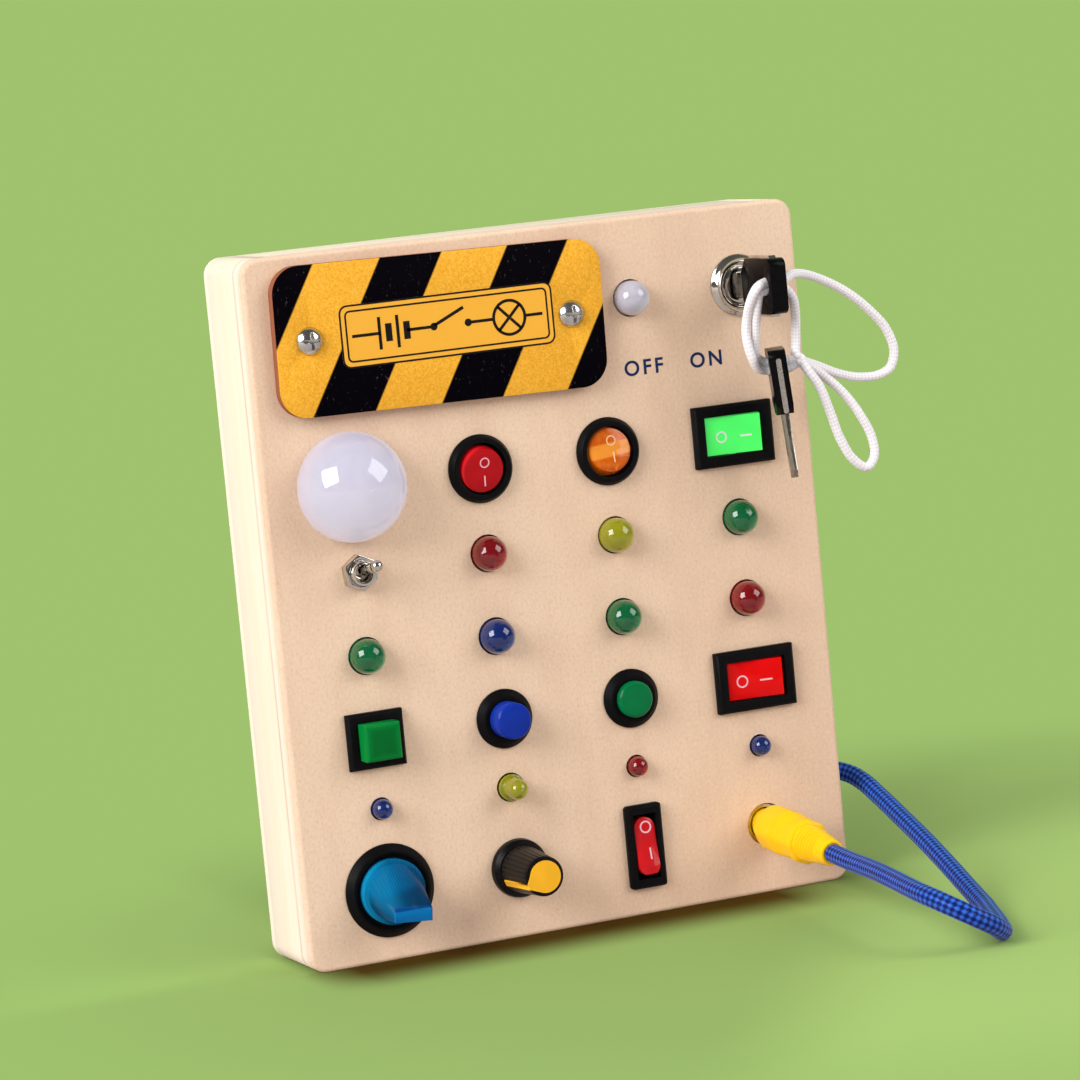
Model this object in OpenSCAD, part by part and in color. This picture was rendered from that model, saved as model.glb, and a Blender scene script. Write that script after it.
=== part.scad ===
// Wooden busy board: a plywood box whose front carries switches, lamps, buttons, knobs,
// a key lock with its keys on a cord, and a plug on a short lead.
// Sizes are in millimetres. X is to the right, Y goes into the board and Z is up.
// The origin is the middle of the bottom face, and the front panel faces -Y.

/* [Board] */
// Width of the board
board_w = 150; // [149:1:170]
// Height of the board, standing on its bottom edge
board_h = 177; // [176:1:200]
// Depth of the closed box
board_d = 28; // [27.5:0.5:34]
// Thickness of the front panel
front_t = 3; // [2.6:0.1:3.6]
// Thickness of the back panel
back_t = 3; // [2.6:0.1:3.4]
// Thickness of the four frame rails
rail_t = 8; // [7:0.5:10]
// Radius of the corners in the front view
corner_r = 4.4; // [3:0.1:7]
// Rounding of the outer edges of both panels
edge_r = 1.1; // [0.5:0.1:1.6]

/* [Layout] */
// Distance from a side of the board to its nearest column of controls
column_in = 22.5; // [22:0.5:24]
// Height of the row with the knobs and the plug
knob_row = 17.8; // [17:0.1:18.5]
// Distance from the top of the board down to the row of switches
switch_drop = 58.1; // [57.5:0.1:59]
// Distance from the row of switches down to the upper row of large lamps
upper_drop = 21.3; // [21:0.1:22]
// Height of the push buttons, as a share of the way from the knobs to the switches
button_share = 0.376; // [0.37:0.002:0.39]
// Height of the small lamps, as a share of the way from the knobs to the switches
small_lamp_share = 0.203; // [0.195:0.001:0.21]
// Distance from the top of the board down to the key lock and the indicator lamp
lock_drop = 20.5; // [19:0.1:22]
// Distance from the right side of the board to the key lock
lock_in = 17; // [16.5:0.1:17.5]
// Distance from the striped plate to the middle of the indicator lamp
indicator_gap = 9; // [7:0.1:10]

/* [Hazard plate] */
// Width of the striped plate
plate_w = 87.5; // [84:0.5:88]
// Height of the striped plate
plate_h = 37.2; // [36:0.1:39]
// Thickness of the striped plate
plate_t = 3; // [2:0.1:4]
// Corner radius of the striped plate
plate_r = 7; // [4:0.5:9]
// Distance from the left side of the board to the plate
plate_in = 6.2; // [5.5:0.1:7]
// Distance from the top of the board down to the plate's middle
plate_drop = 21.9; // [21:0.1:23]
// Turn of the plate on its screws, clockwise
plate_turn = 1; // [0:0.5:2]
// Distance between the plate's two screws
plate_screw_pitch = 70; // [68:0.5:72]
// Shank diameter of the plate's screws
plate_screw_d = 3; // [2.5:0.1:3.2]
// Head diameter of the plate's screws
plate_head_d = 7.1; // [6:0.1:7.5]
// Height of the plate's screw heads
plate_head_h = 2.1; // [1.8:0.1:2.6]

/* [Fits] */
// Gap round a fixed part in its panel hole
hole_gap = 0.15; // [0.1:0.05:0.2]
// Radial gap of pins, shafts, plungers and nuts
run_gap = 0.05; // [0.03:0.01:0.08]
// Gap between a rocker and the window it swings in
swing_gap = 0.3; // [0.25:0.05:0.4]

/* [Rocker switches] */
// Height of the bezels above the panel
bezel_t = 2; // [1.8:0.1:2.4]
// Depth of the switch bodies behind the panel's front face
switch_depth = 16; // [14:0.5:17]
// Tilt of a rocker to each side
rocker_tilt = 8; // [6:0.5:9]
// Slope of the two halves of a rocker's face
rocker_facet = 4; // [2:0.5:5]
// Height of the middle of a rocker's face above the panel
rocker_face = 1.6; // [1.4:0.1:2]
// Depth of the rocker pivots behind the panel's front face
pivot_depth = 1; // [0.8:0.1:1.2]
// Diameter of the rocker pivot pins
pivot_d = 2; // [1.8:0.1:2.2]
// Length of the rectangular rockers
wide_rocker_l = 14.6; // [14:0.1:16]
// Width of the rectangular rockers
wide_rocker_w = 9.5; // [9.2:0.1:10.4]
// Length of the rectangular bezels
wide_bezel_l = 22.2; // [22:0.1:22.6]
// Width of the rectangular bezels
wide_bezel_w = 15.8; // [15.5:0.1:16.2]
// Diameter of the round rockers
round_rocker_d = 12.2; // [12:0.1:12.4]
// Diameter of the round bezels
round_bezel_d = 17.2; // [17:0.1:17.8]
// Length of the small rocker
mini_rocker_l = 14.8; // [14:0.1:15]
// Width of the small rocker
mini_rocker_w = 5.7; // [5.4:0.1:5.8]
// Length of the small bezel
mini_bezel_l = 21.5; // [21.4:0.1:22.5]
// Width of the small bezel
mini_bezel_w = 10; // [9.8:0.1:11]

/* [Push buttons] */
// Diameter of the round caps
cap_d = 9.2; // [8.8:0.1:9.4]
// Diameter of the round bezels
button_bezel_d = 15; // [14.6:0.1:15.6]
// Diameter of the threaded barrels
button_barrel_d = 12; // [11.9:0.1:12.3]
// Height of the blue cap above the panel
blue_cap_h = 7; // [4.6:0.1:7.5]
// Height of the green cap above the panel
green_cap_h = 4; // [3.4:0.1:4.4]
// Height of the square cap above the panel
square_cap_h = 6.5; // [4.4:0.1:7]
// Width of the square cap
square_cap_w = 9.4; // [9.2:0.1:10.2]
// Width of the square bezel
square_bezel_w = 15; // [14.8:0.1:15.6]
// Height of the square bezel
square_bezel_h = 14.1; // [14:0.1:14.8]
// Travel of the caps
cap_travel = 1.6; // [1.2:0.1:1.8]

/* [Lamps] */
// Diameter of the large lamps
large_lamp_d = 8.8; // [8.4:0.1:9.2]
// Height of the large lamps above the panel
large_lamp_h = 5.6; // [5:0.1:6.5]
// Diameter of the small lamps
small_lamp_d = 5.1; // [5:0.1:5.8]
// Height of the small lamps above the panel
small_lamp_h = 3.6; // [3.2:0.1:4.4]
// Height of the small yellow lamp, which is pushed through its hole
proud_lamp_h = 7.4; // [6.8:0.1:8]
// Diameter of the frosted dome
dome_d = 27.5; // [26.5:0.5:28]
// Height of the dome's centre above the panel
dome_lift = 1.5; // [1:0.1:2.5]
// Wall of the dome
dome_wall = 1.5; // [1.2:0.1:1.8]

/* [Toggle] */
// Width of the toggle's hex nut across its flats
toggle_nut_w = 8; // [7.6:0.1:8.4]
// Diameter of the threaded bushing
toggle_bush_d = 6; // [5.9:0.1:6.2]
// Height of the lever's tip above the panel
toggle_h = 12.5; // [11.5:0.1:13.5]
// Tilt of the lever to each side
toggle_tilt = 14; // [10:1:15]
// Turn of the toggle in its hole, clockwise
toggle_turn = 25; // [0:5:40]

/* [Selector and dial] */
// Diameter of the selector's bezel
selector_bezel_d = 23.5; // [23.5:0.1:24.5]
// Diameter of the selector knob's foot
selector_knob_d = 16.4; // [16:0.1:16.8]
// Height of the selector's grip above the panel
selector_h = 16; // [13:0.5:16]
// Turn of the selector at rest, clockwise from its ridge lying level
selector_rest = 5; // [0:1:30]
// Diameter of the dial's skirt
dial_skirt_d = 15; // [14.6:0.1:15.6]
// Height of the dial above the panel
dial_h = 16.5; // [15:0.5:18]
// Diameter of the dial's shaft
shaft_d = 6; // [5.9:0.1:6.1]
// Angle of the dial's pointer, anticlockwise from pointing right
pointer_angle = 203; // [200:1:230]

/* [Lock and keys] */
// Diameter of the lock's flange
lock_flange_d = 15.8; // [15.4:0.1:16.4]
// Diameter of the lock's barrel
lock_barrel_d = 12; // [11.9:0.1:12.3]
// Diameter of the turning core
core_d = 9; // [8.8:0.1:9.2]
// Length of the lock behind the panel's front face
lock_depth = 19; // [17:0.5:19.5]
// Width of a key's head
bow_w = 14; // [13:0.5:15]
// Length of a key's head
bow_l = 16.5; // [16:0.5:17]
// Thickness of a key's head
bow_t = 4.4; // [4:0.1:5]
// Diameter of the cord hole in a key's head
bow_hole_d = 5.2; // [5:0.1:5.6]
// Length of a key's blade
blade_l = 16.5; // [16:0.5:18.5]
// Width of a key's blade
blade_w = 6.2; // [5.8:0.1:6.4]
// Thickness of a key's blade
blade_t = 1.8; // [1.6:0.1:2]

/* [Plug and cords] */
// Diameter of the plug's grip
plug_d = 12.2; // [10:0.1:12.5]
// Length of the plug's grip in front of the panel
plug_grip_l = 24.5; // [21:0.5:25]
// Length of the plug from the panel to the lead
plug_l = 36.5; // [36:0.5:39]
// Angle that the plug hangs below level
plug_droop = 4.5; // [0:0.5:5]
// Diameter of the plug's metal pin
pin_d = 5.5; // [5.3:0.1:5.7]
// Diameter of the blue lead
lead_d = 5; // [4.6:0.1:5]
// Diameter of the white key cord
key_cord_d = 2.4; // [1.6:0.1:2.4]
// Height at which the lead leaves the right side
lead_exit_z = 26.5; // [26:0.1:27]

/* [Power] */
// Diameter of a battery cell
cell_d = 14.2; // [14:0.1:14.4]
// Length of a battery cell
cell_l = 50.5; // [50:0.1:50.6]
// Distance from the middle of the plate to the middle of the battery box
battery_shift = -2.3; // [-3:0.1:0]
// Distance from the top of the board down to the middle of the battery box
battery_drop = 27; // [26.9:0.1:27.5]
// Wall of the battery box
box_wall = 1.2; // [1:0.1:1.5]

/* [Hidden] */
$fn = 64;
front_y = -board_d / 2;
back_y = board_d / 2;
cavity_d = board_d - front_t - back_t;
column_pitch = (board_w - 2 * column_in) / 3;
col = [for (i = [0 : 3]) (i - 1.5) * column_pitch];

// Rows and places that follow the board's size
switch_row = board_h - switch_drop;
upper_lamp_row = switch_row - upper_drop;
button_row = knob_row + button_share * (switch_row - knob_row);
small_lamp_row = knob_row + small_lamp_share * (switch_row - knob_row);
lower_lamp_row = (upper_lamp_row + button_row) / 2;
lock_row = board_h - lock_drop;
lock_x = board_w / 2 - lock_in;
plate_x = plate_in + plate_w / 2 - board_w / 2;
plate_z = board_h - plate_drop;
plate_screws_at = [for (reach = [-plate_screw_pitch / 2, plate_screw_pitch / 2])
    [plate_x + reach * cos(plate_turn), plate_z - reach * sin(plate_turn)]];
indicator_x = plate_x + plate_w / 2 + indicator_gap;
battery_x = plate_x + battery_shift;
battery_z = board_h - battery_drop;

wood = [0.93, 0.80, 0.68];
rail_wood = [0.99, 0.96, 0.87];
black = [0.12, 0.12, 0.13];
steel = [0.75, 0.74, 0.72];
brass = [0.80, 0.66, 0.35];
red = [0.75, 0.12, 0.14];
green = [0.03, 0.45, 0.22];
blue = [0.06, 0.16, 0.55];
yellow = [0.98, 0.83, 0.12];

// Screws of the back and the battery door
wood_screw_d = 2.4;
wood_head_d = 5;
wood_head_h = 1.6;
wood_screw_l = 11;
corner_screw_in = 14;
corner_screws = [for (x = [-1, 1], z = [corner_screw_in, board_h - corner_screw_in])
    [x * (board_w - rail_t) / 2, z]];

// Nuts behind the panel
nut_t = 2.4;
small_nut_w = 5.5;
button_nut_w = 15;
lock_nut_w = 15.5;
dial_nut_w = 10;
dial_nut_t = 2;

// Battery box, its bay and its door
bay_gap = 0.3;
bay_l = cell_l + 5.5;
bay_w = 2 * cell_d + 3 * bay_gap;
bay_d = cell_d + 2 * bay_gap;
flange_t = 1.5;
flange_lip = 3;
boss_d = 5.6;
boss_l = 9;
box_l = bay_l + 2 * box_wall;
box_w = bay_w + 2 * box_wall;
door_l = box_l + boss_d + 1;
door_w = box_w;
door_gap = 0.3;
door_x = battery_x + (door_l - box_l) / 2;
boss_x = battery_x + box_l / 2 + boss_d / 2;
door_screw_l = 8;
contact_t = 0.4;

// Rockers
pin_reach = 0.6;
rocker_mid = rocker_face + pivot_depth;
rocker_drop = 2.5;
pocket_reach = pin_reach + 0.1;
floor_t = 1.5;
body_wall = 0.85;
wide_corner_r = 0.3;
mini_corner_r = 1;

// Push buttons
flange_step = 0.7;
cap_flange_t = 1.6;
guide_t = 4;
chamber_d = 12.2;

// Lamps
lamp_hole_gap = 0.35;
lamp_flange = 0.8;
lamp_flange_t = 1;
lamp_depth = 7;
leg_w = 0.5;
leg_pitch = 2.54;
leg_l = 5;
dome_base_d = 19.8;
dome_base_depth = 10;
bulb_d = 5;

// Toggle
toggle_pivot_h = 1;
toggle_bush_h = 4.6;
lever_d = 2.4;
lever_tip_d = 3;
toggle_body_l = 13;
toggle_body_w = 8;
toggle_body_d = 9;

// Selector and dial
selector_foot_h = 3.6;
selector_barrel_d = 16;
selector_shaft_d = 6;
ridge_l = 9.8;
ridge_w = 3.2;
ridge_y = -4;
dial_foot_h = 0.4;
dial_skirt_h = 3.2;
dial_low_r = 6;
dial_top_r = 5;
dial_can_d = 16;
dial_can_t = 8;
bush_d = 7.2;
dial_cap_t = 0.6;
dial_top_t = 3;
pointer_w = 1.5;

// Lock and keys
lock_flange_h = 2.5;
key_out = 6.9;
slot_l = 12;
bow_shoulder = 2.5;
bow_round = 2;
hole_from_end = 4.2;

// Plug
socket_d = 11;
socket_depth = 15;
socket_flange_d = 16;
plug_hole_d = 10.8;
plug_nose_d = 7.6;
plug_collar_d = 11.6;
plug_tip_d = 6.5;
pin_l = 10;
plug_in = 2.2;
grommet_d = 8;
grommet_lip_d = 10.4;
grommet_lip_t = 1.2;

// Terminals and wires
wire_d = 1.4;
terminal_x = 3;
terminal_w = 2.6;
terminal_t = 0.6;
wire_depth = max(switch_depth, lock_depth) + 0.6 + wire_d / 2;
bus_drop = 49;
bus_z = board_h - bus_drop;

// The blue lead's route at the standard size, from the right side of the board to the plug.
// It leaves the side level, sinks to the ground in front of the board, turns back and rises.
lead_route = [
    [75, 0, 26.5], [77, 0, 26.5], [80.3, -1.1, 26], [83.1, -3.7, 24.8], [84.6, -7.8, 23],
    [85, -13.9, 20.6], [84.4, -21.8, 18.4], [83.6, -30, 16.2], [82.7, -38.3, 14.1],
    [81.7, -46.5, 12], [80.6, -54.8, 9.8], [79.4, -62.9, 7.7], [78.1, -71.2, 5.5],
    [76.7, -79.4, 3.6], [75, -86.2, 2.7], [72.3, -93.2, 2.6], [69.2, -101.4, 2.6],
    [66.5, -108.2, 2.6], [63.9, -113.7, 2.8], [61.4, -117, 4.2], [58.2, -119.5, 6.1],
    [54.5, -120.2, 8.2], [50.9, -118.9, 10.4], [48.2, -116.1, 12.2], [46.7, -111.9, 13.4],
    [46.6, -105.9, 13.9], [47.6, -98, 14.1], [49, -89, 14.2], [50.3, -79.3, 14.3],
    [51.6, -69.6, 14.2], [52.3, -61, 14.2], [52.5, -50.5, 14.9]
];
lead_ease = 8;

// How far a point of the route moves with the side (near its start) and with the plug (near its end).
function side_share(i) = max(0, 1 - i / lead_ease);
function plug_share(i) = max(0, 1 - (len(lead_route) - 1 - i) / lead_ease);
lead_points = [for (i = [0 : len(lead_route) - 1]) lead_route[i] + [
    board_w / 2 - 75 + (22.5 - column_in) * plug_share(i),
    (front_y + 14) * (1 - side_share(i)),
    (lead_exit_z - 26.5) * side_share(i) + (knob_row - 17.8) * plug_share(i)
]];

// The white key cord at the standard size: three loops through both keys, which end in a knot
// beside the spare key.
key_cord_loops = [
    [
        [64.6, -29.9, 137.3], [62.6, -29.3, 137.2], [60, -28.2, 137.2], [57.2, -27.1, 137.2],
        [55, -27.4, 138.6], [54.2, -28.4, 141.4], [54, -30, 145.4], [53.8, -31.4, 149],
        [53.9, -32.6, 152.2], [54.6, -33.1, 154.9], [58, -33.2, 155.5], [61.4, -33.4, 155.4],
        [63.4, -33.2, 153.2], [64.6, -31.8, 149.8], [65.4, -29.8, 145.7], [65.3, -29.2, 141.6],
        [64.8, -29.8, 138.4]
    ],
    [
        [64.6, -30, 136.2], [62.6, -29.3, 135.2], [60, -28.2, 135.1], [57.4, -27.2, 135.1],
        [54.8, -28, 135.9], [52.7, -29.5, 138.6], [51.6, -29.8, 142.2], [51.4, -29.8, 145.6],
        [51.6, -30.8, 149.4], [51.8, -33, 153.2], [53, -34.6, 156.4], [55.4, -33.9, 157.5],
        [58, -33.2, 157.7], [61.4, -33.1, 157.7], [65, -30.6, 158.6], [70.4, -27.8, 158],
        [77.9, -26.2, 154.9], [83.7, -26, 151.2], [89.2, -26, 146.2], [92.9, -26, 141.5],
        [94.6, -26, 135.9], [93.1, -26, 131.7], [89.4, -26, 130.1], [83.4, -26, 130.3],
        [77.5, -26.6, 132], [71.3, -28, 134.7], [66.2, -29.8, 136.6]
    ],
    [
        [65.9, -30, 136.4], [68.8, -29.4, 134.7], [72.2, -29, 132.2], [76.8, -30, 127.4],
        [80.6, -30.8, 121.6], [83.6, -31, 114.8], [83.7, -31, 110], [81.4, -31, 107.7],
        [77.6, -31.2, 110.2], [74.2, -31.6, 116], [71.8, -32, 123.1], [69.2, -32.6, 129.8],
        [66.6, -32.4, 134], [65.6, -31, 136.3]
    ]
];
knot_at = [65.2, -30.2, 137];
cord_shift = [lock_x - 58, front_y + 14, lock_row - 156.5];
knot_d = 5.4;

// ---- Frames and shared shapes ----

// Draws at a place on the panel: x to the right, y up, z out of the panel's front face.
module at(x, z) {
    translate([x, front_y, z]) rotate([90, 0, 0]) children();
}

// Draws on the back: x to the left, y up, z out of the back panel's outer face.
module at_back(x, z) {
    translate([x, back_y, z]) rotate([90, 0, 180]) children();
}

module rounded_rect(w, h, r) {
    square([w - 2 * r, h], center = true);
    square([w, h - 2 * r], center = true);
    for (x = [-1, 1], y = [-1, 1]) translate([x * (w / 2 - r), y * (h / 2 - r)]) circle(r);
}

// Cross-section of a plate from its middle to one rounded front edge.
module edge_section(half, t, e) {
    square([half, t - e]);
    square([half - e, t]);
    translate([half - e, t - e]) circle(e);
}

// A plate with rounded corners and a rounded front edge; its back lies at z = 0.
module soft_plate(w, h, t, r, e) {
    for (x = [-1, 1], y = [-1, 1])
        translate([x * (w / 2 - r), y * (h / 2 - r)]) rotate_extrude() edge_section(r, t, e);
    for (a = [0, 180]) rotate([0, 0, a]) {
        rotate([90, 0, 0]) linear_extrude(h - 2 * r, center = true) edge_section(w / 2, t, e);
        rotate([90, 0, 90]) linear_extrude(w - 2 * r, center = true) edge_section(h / 2, t, e);
    }
}

// A bezel plate whose four outer edges are chamfered.
module chamfered_plate(w, h, t, c) {
    intersection() {
        rotate([90, 0, 0]) linear_extrude(h, center = true) chamfer_section(w, t, c);
        rotate([90, 0, 90]) linear_extrude(w, center = true) chamfer_section(h, t, c);
    }
}

module chamfer_section(w, t, c) {
    polygon([[-w / 2, 0], [w / 2, 0], [w / 2, t - c], [w / 2 - c, t], [c - w / 2, t],
        [-w / 2, t - c]]);
}

// A bar along x with a rectangular section, its front at z = top and its back at z = bottom.
module block(w, h, bottom, top) {
    translate([-w / 2, -h / 2, bottom]) cube([w, h, top - bottom]);
}

module tube_between(bottom, top, d) {
    translate([0, 0, bottom]) cylinder(h = top - bottom, d = d);
}

module hex_nut(width, bore, t) {
    difference() {
        cylinder(h = t, d = width / cos(30), $fn = 6);
        translate([0, 0, -1]) cylinder(h = t + 2, d = bore);
    }
}

// The hole and the cone for a countersunk wood screw.
module screw_cut(d, l) {
    translate([0, 0, -l]) cylinder(h = l + 1, d = d + 2 * run_gap);
    translate([0, 0, -wood_head_h]) cylinder(h = wood_head_h + 0.01, d1 = d, d2 = wood_head_d + 0.2);
}

module wood_screw(l) {
    difference() {
        union() {
            translate([0, 0, -l]) cylinder(h = l, d = wood_screw_d);
            translate([0, 0, -wood_head_h])
                cylinder(h = wood_head_h, d1 = wood_screw_d, d2 = wood_head_d);
        }
        cross_recess(2.6, 1.1);
    }
}

module cross_recess(w, depth, slot = 0.6) {
    for (a = [0, 90]) rotate([0, 0, a]) block(w, slot, -depth, 0.5);
}

// ---- Cords ----

function unit(v) = v / norm(v);
function tangent(p, i) = unit(p[min(i + 1, len(p) - 1)] - p[max(i - 1, 0)]);
function square_to(v, t) = unit(v - (v * t) * t);
function side_vectors(p) = [
    for (i = 0, n = square_to([0, 0.3, 1], tangent(p, 0)); i < len(p);
        i = i + 1, n = square_to(n, tangent(p, min(i, len(p) - 1)))) n
];

// A round cord swept along its points, with one ring of sides at each point.
module swept_cord(p, d, sides) {
    n = side_vectors(p);
    rings = len(p);
    points = [
        for (i = [0 : rings - 1], k = [0 : sides - 1])
            let (a = 360 * k / sides, b = cross(tangent(p, i), n[i]))
            p[i] + d / 2 * (cos(a) * n[i] + sin(a) * b)
    ];
    walls = [
        for (i = [0 : rings - 2], k = [0 : sides - 1])
            let (next = (k + 1) % sides)
            [i * sides + next, i * sides + k, (i + 1) * sides + k, (i + 1) * sides + next]
    ];
    start = [for (k = [0 : sides - 1]) k];
    end = [for (k = [sides - 1 : -1 : 0]) (rings - 1) * sides + k];
    polyhedron(points, concat([start], walls, [end]), convexity = 10);
}

// ---- The wooden box ----

module front_panel() {
    color(wood) difference() {
        translate([0, front_y + front_t, board_h / 2]) rotate([90, 0, 0])
            soft_plate(board_w, board_h, front_t, corner_r, edge_r);
        panel_holes();
    }
}

// Every hole of the front panel, each cut by the part that sits in it.
module panel_holes() {
    for (p = plate_screws_at) round_hole(p[0], p[1], plate_screw_d);
    round_hole(lock_x, lock_row, lock_barrel_d);
    round_hole(col[0], switch_row, dome_base_d);
    for (i = [1, 2]) round_hole(col[i], switch_row, round_body_d);
    for (z = [switch_row, button_row]) rect_hole(col[3], z, wide_body_l, wide_body_w);
    rect_hole(col[2], knob_row, mini_body_w, mini_body_l);
    rect_hole(col[0], button_row, square_body_w, square_body_h);
    for (i = [1, 2]) round_hole(col[i], button_row, button_barrel_d);
    round_hole(col[0], upper_lamp_row, toggle_bush_d);
    round_hole(col[0], knob_row, selector_barrel_d);
    round_hole(col[1], knob_row, bush_d);
    at(col[3], knob_row) tube_between(-front_t - 1, 1, plug_hole_d);
    for (p = large_lamps) lamp_hole(p, large_lamp_d);
    for (p = small_lamps) lamp_hole(p, small_lamp_d);
    lamp_hole(proud_lamp, small_lamp_d + 2 * lamp_flange);
}

module round_hole(x, z, d) {
    at(x, z) tube_between(-front_t - 1, 1, d + 2 * hole_gap);
}

module rect_hole(x, z, w, h) {
    at(x, z) block(w + 2 * hole_gap, h + 2 * hole_gap, -front_t - 1, 1);
}

module lamp_hole(p, d) {
    at(p[0], p[1]) tube_between(-front_t - 1, 1, d + 2 * lamp_hole_gap);
}

// One rail: the part of the frame's outline that lies in the given strip.
module rail(x, z, w, h) {
    translate([0, front_y + front_t + cavity_d, board_h / 2]) rotate([90, 0, 0])
        linear_extrude(cavity_d) intersection() {
            rounded_rect(board_w, board_h, corner_r);
            translate([x, z - board_h / 2]) square([w, h]);
        }
}

module pilot_holes() {
    for (p = corner_screws) at_back(p[0], p[1])
        tube_between(-wood_screw_l - 0.5, 1, wood_screw_d + 2 * run_gap);
}

module left_rail() {
    color(rail_wood) difference() {
        rail(-board_w / 2, 0, rail_t, board_h);
        pilot_holes();
    }
}

module right_rail() {
    color(rail_wood) difference() {
        rail(board_w / 2 - rail_t, 0, rail_t, board_h);
        pilot_holes();
        translate([board_w / 2 - rail_t - 1, 0, lead_exit_z]) rotate([0, 90, 0])
            cylinder(h = rail_t + 2, d = grommet_d + 2 * run_gap);
    }
}

module top_rail() {
    color(rail_wood) rail(rail_t - board_w / 2, board_h - rail_t, board_w - 2 * rail_t, rail_t);
}

module bottom_rail() {
    color(rail_wood) rail(rail_t - board_w / 2, 0, board_w - 2 * rail_t, rail_t);
}

module back_panel() {
    color(wood) difference() {
        translate([0, back_y - back_t, board_h / 2]) rotate([90, 0, 180])
            soft_plate(board_w, board_h, back_t, corner_r, edge_r);
        for (p = corner_screws) at_back(p[0], p[1]) screw_cut(wood_screw_d, back_t + 1);
        at_back(door_x, battery_z)
            block(door_l + 2 * door_gap, door_w + 2 * door_gap, -back_t - 1, 1);
    }
}

module wood_screws() {
    color(steel) {
        for (p = corner_screws) at_back(p[0], p[1]) wood_screw(wood_screw_l);
        at_back(boss_x, battery_z) wood_screw(door_screw_l);
    }
}

// ---- Power ----

// Draws inside the back panel: z grows from its inner face towards the back.
module at_bay(x) {
    translate([x, back_y - back_t, battery_z]) rotate([90, 0, 180]) children();
}

// Draws along a cell, from the middle of the lower or the upper one.
module at_cell(s) {
    at_bay(battery_x) translate([0, s * (cell_d + bay_gap) / 2, bay_gap + cell_d / 2 - bay_d])
        rotate([0, s * 90, 0]) children();
}

module battery_box() {
    color(black) difference() {
        union() {
            at_bay(door_x) block(door_l + 2 * flange_lip, door_w + 2 * flange_lip, -flange_t, 0);
            at_bay(battery_x) block(box_l, box_w, -bay_d - box_wall, 0);
            at_bay(boss_x) tube_between(-boss_l, 0, boss_d);
        }
        at_bay(battery_x) block(bay_l, bay_w, -bay_d, 1);
        at_bay(boss_x) tube_between(-boss_l + 1, 1, wood_screw_d + 2 * run_gap);
    }
}

module batteries() {
    nub_d = 5.2;
    nub_l = 1.2;
    for (s = [-1, 1]) at_cell(s) {
        color("seagreen") translate([0, 0, -cell_l / 2]) cylinder(h = cell_l - nub_l, d = cell_d);
        color(steel) translate([0, 0, cell_l / 2 - nub_l]) cylinder(h = nub_l, d = nub_d);
    }
}

// A plate at each end of each cell, with a coil spring drawn as a cone at the flat end.
module battery_contacts() {
    plate = 9;
    end_gap = (bay_l - cell_l) / 2;
    color(steel) for (s = [-1, 1]) at_cell(s) {
        translate([0, 0, -bay_l / 2]) block(plate, plate, 0, contact_t);
        translate([0, 0, contact_t - bay_l / 2]) cylinder(h = end_gap - contact_t, d1 = 8, d2 = 5);
        translate([0, 0, bay_l / 2]) block(plate, plate, -contact_t, 0);
        translate([0, 0, bay_l / 2 - end_gap]) cylinder(h = end_gap - contact_t, d1 = 3, d2 = 5);
    }
}

module battery_door() {
    finger_l = 3;
    color(black) difference() {
        at_back(door_x, battery_z) block(door_l, door_w, -back_t, 0);
        at_back(boss_x, battery_z) screw_cut(wood_screw_d, back_t + 1);
        at_back(door_x - door_l / 2 + 2 * finger_l, battery_z)
            for (i = [-1 : 1]) translate([0, i * 2.4, 0]) block(2 * finger_l, 1, -0.6, 1);
    }
}

// Two rows of solder terminals behind the switches of each column.
terminal_rows = [
    [switch_row, upper_lamp_row, button_row, knob_row], [switch_row, button_row, knob_row],
    [switch_row, button_row, knob_row], [switch_row, button_row, knob_row]
];

function device_depth(i, z) =
    z == switch_row && i == 0 ? dome_base_depth :
    z == upper_lamp_row ? front_t + toggle_body_d :
    z == knob_row && i == 1 ? front_t + dial_can_t :
    z == knob_row && i == 3 ? socket_depth :
    switch_depth;

module terminals() {
    color(brass) for (i = [0 : 3], z = terminal_rows[i], s = [-1, 1])
        at(col[i] + s * terminal_x, z)
            block(terminal_t, terminal_w, wire_d / 2 - wire_depth, -device_depth(i, z));
}

// Two wires down each column, joined by two cross wires that lead up to the battery box.
module wiring() {
    lead_x = [battery_x - 8, battery_x + 8];
    rise = battery_z - box_w / 2 - bus_z;
    color(red) for (k = [0, 1]) {
        s = 2 * k - 1;
        cross_depth = -wire_depth - wire_d;
        for (i = [0 : 3]) at(col[i] + s * terminal_x, knob_row - terminal_w / 2)
            translate([0, 0, -wire_depth]) rotate([-90, 0, 0])
                cylinder(h = bus_z + k * 4 - knob_row + terminal_w / 2 - 1, d = wire_d);
        at(col[0] + s * terminal_x - 2, bus_z + k * 4 - 4) translate([0, 0, cross_depth])
            rotate([0, 90, 0]) cylinder(h = 3 * column_pitch + 4, d = wire_d);
        at(lead_x[k], bus_z + k * 4 - 4 + wire_d / 2) translate([0, 0, cross_depth])
            rotate([-90, 0, 0]) cylinder(h = rise + 4 - k * 4 - wire_d / 2, d = wire_d);
    }
}

// ---- Hazard plate ----

module hazard_plate() {
    color([0.94, 0.69, 0.22]) difference() {
        at(plate_x, plate_z) rotate([0, 0, -plate_turn]) linear_extrude(plate_t)
            rounded_rect(plate_w, plate_h, plate_r);
        for (p = plate_screws_at) at(p[0], p[1])
            tube_between(-1, plate_t + 1, plate_screw_d + 2 * hole_gap);
    }
}

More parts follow.
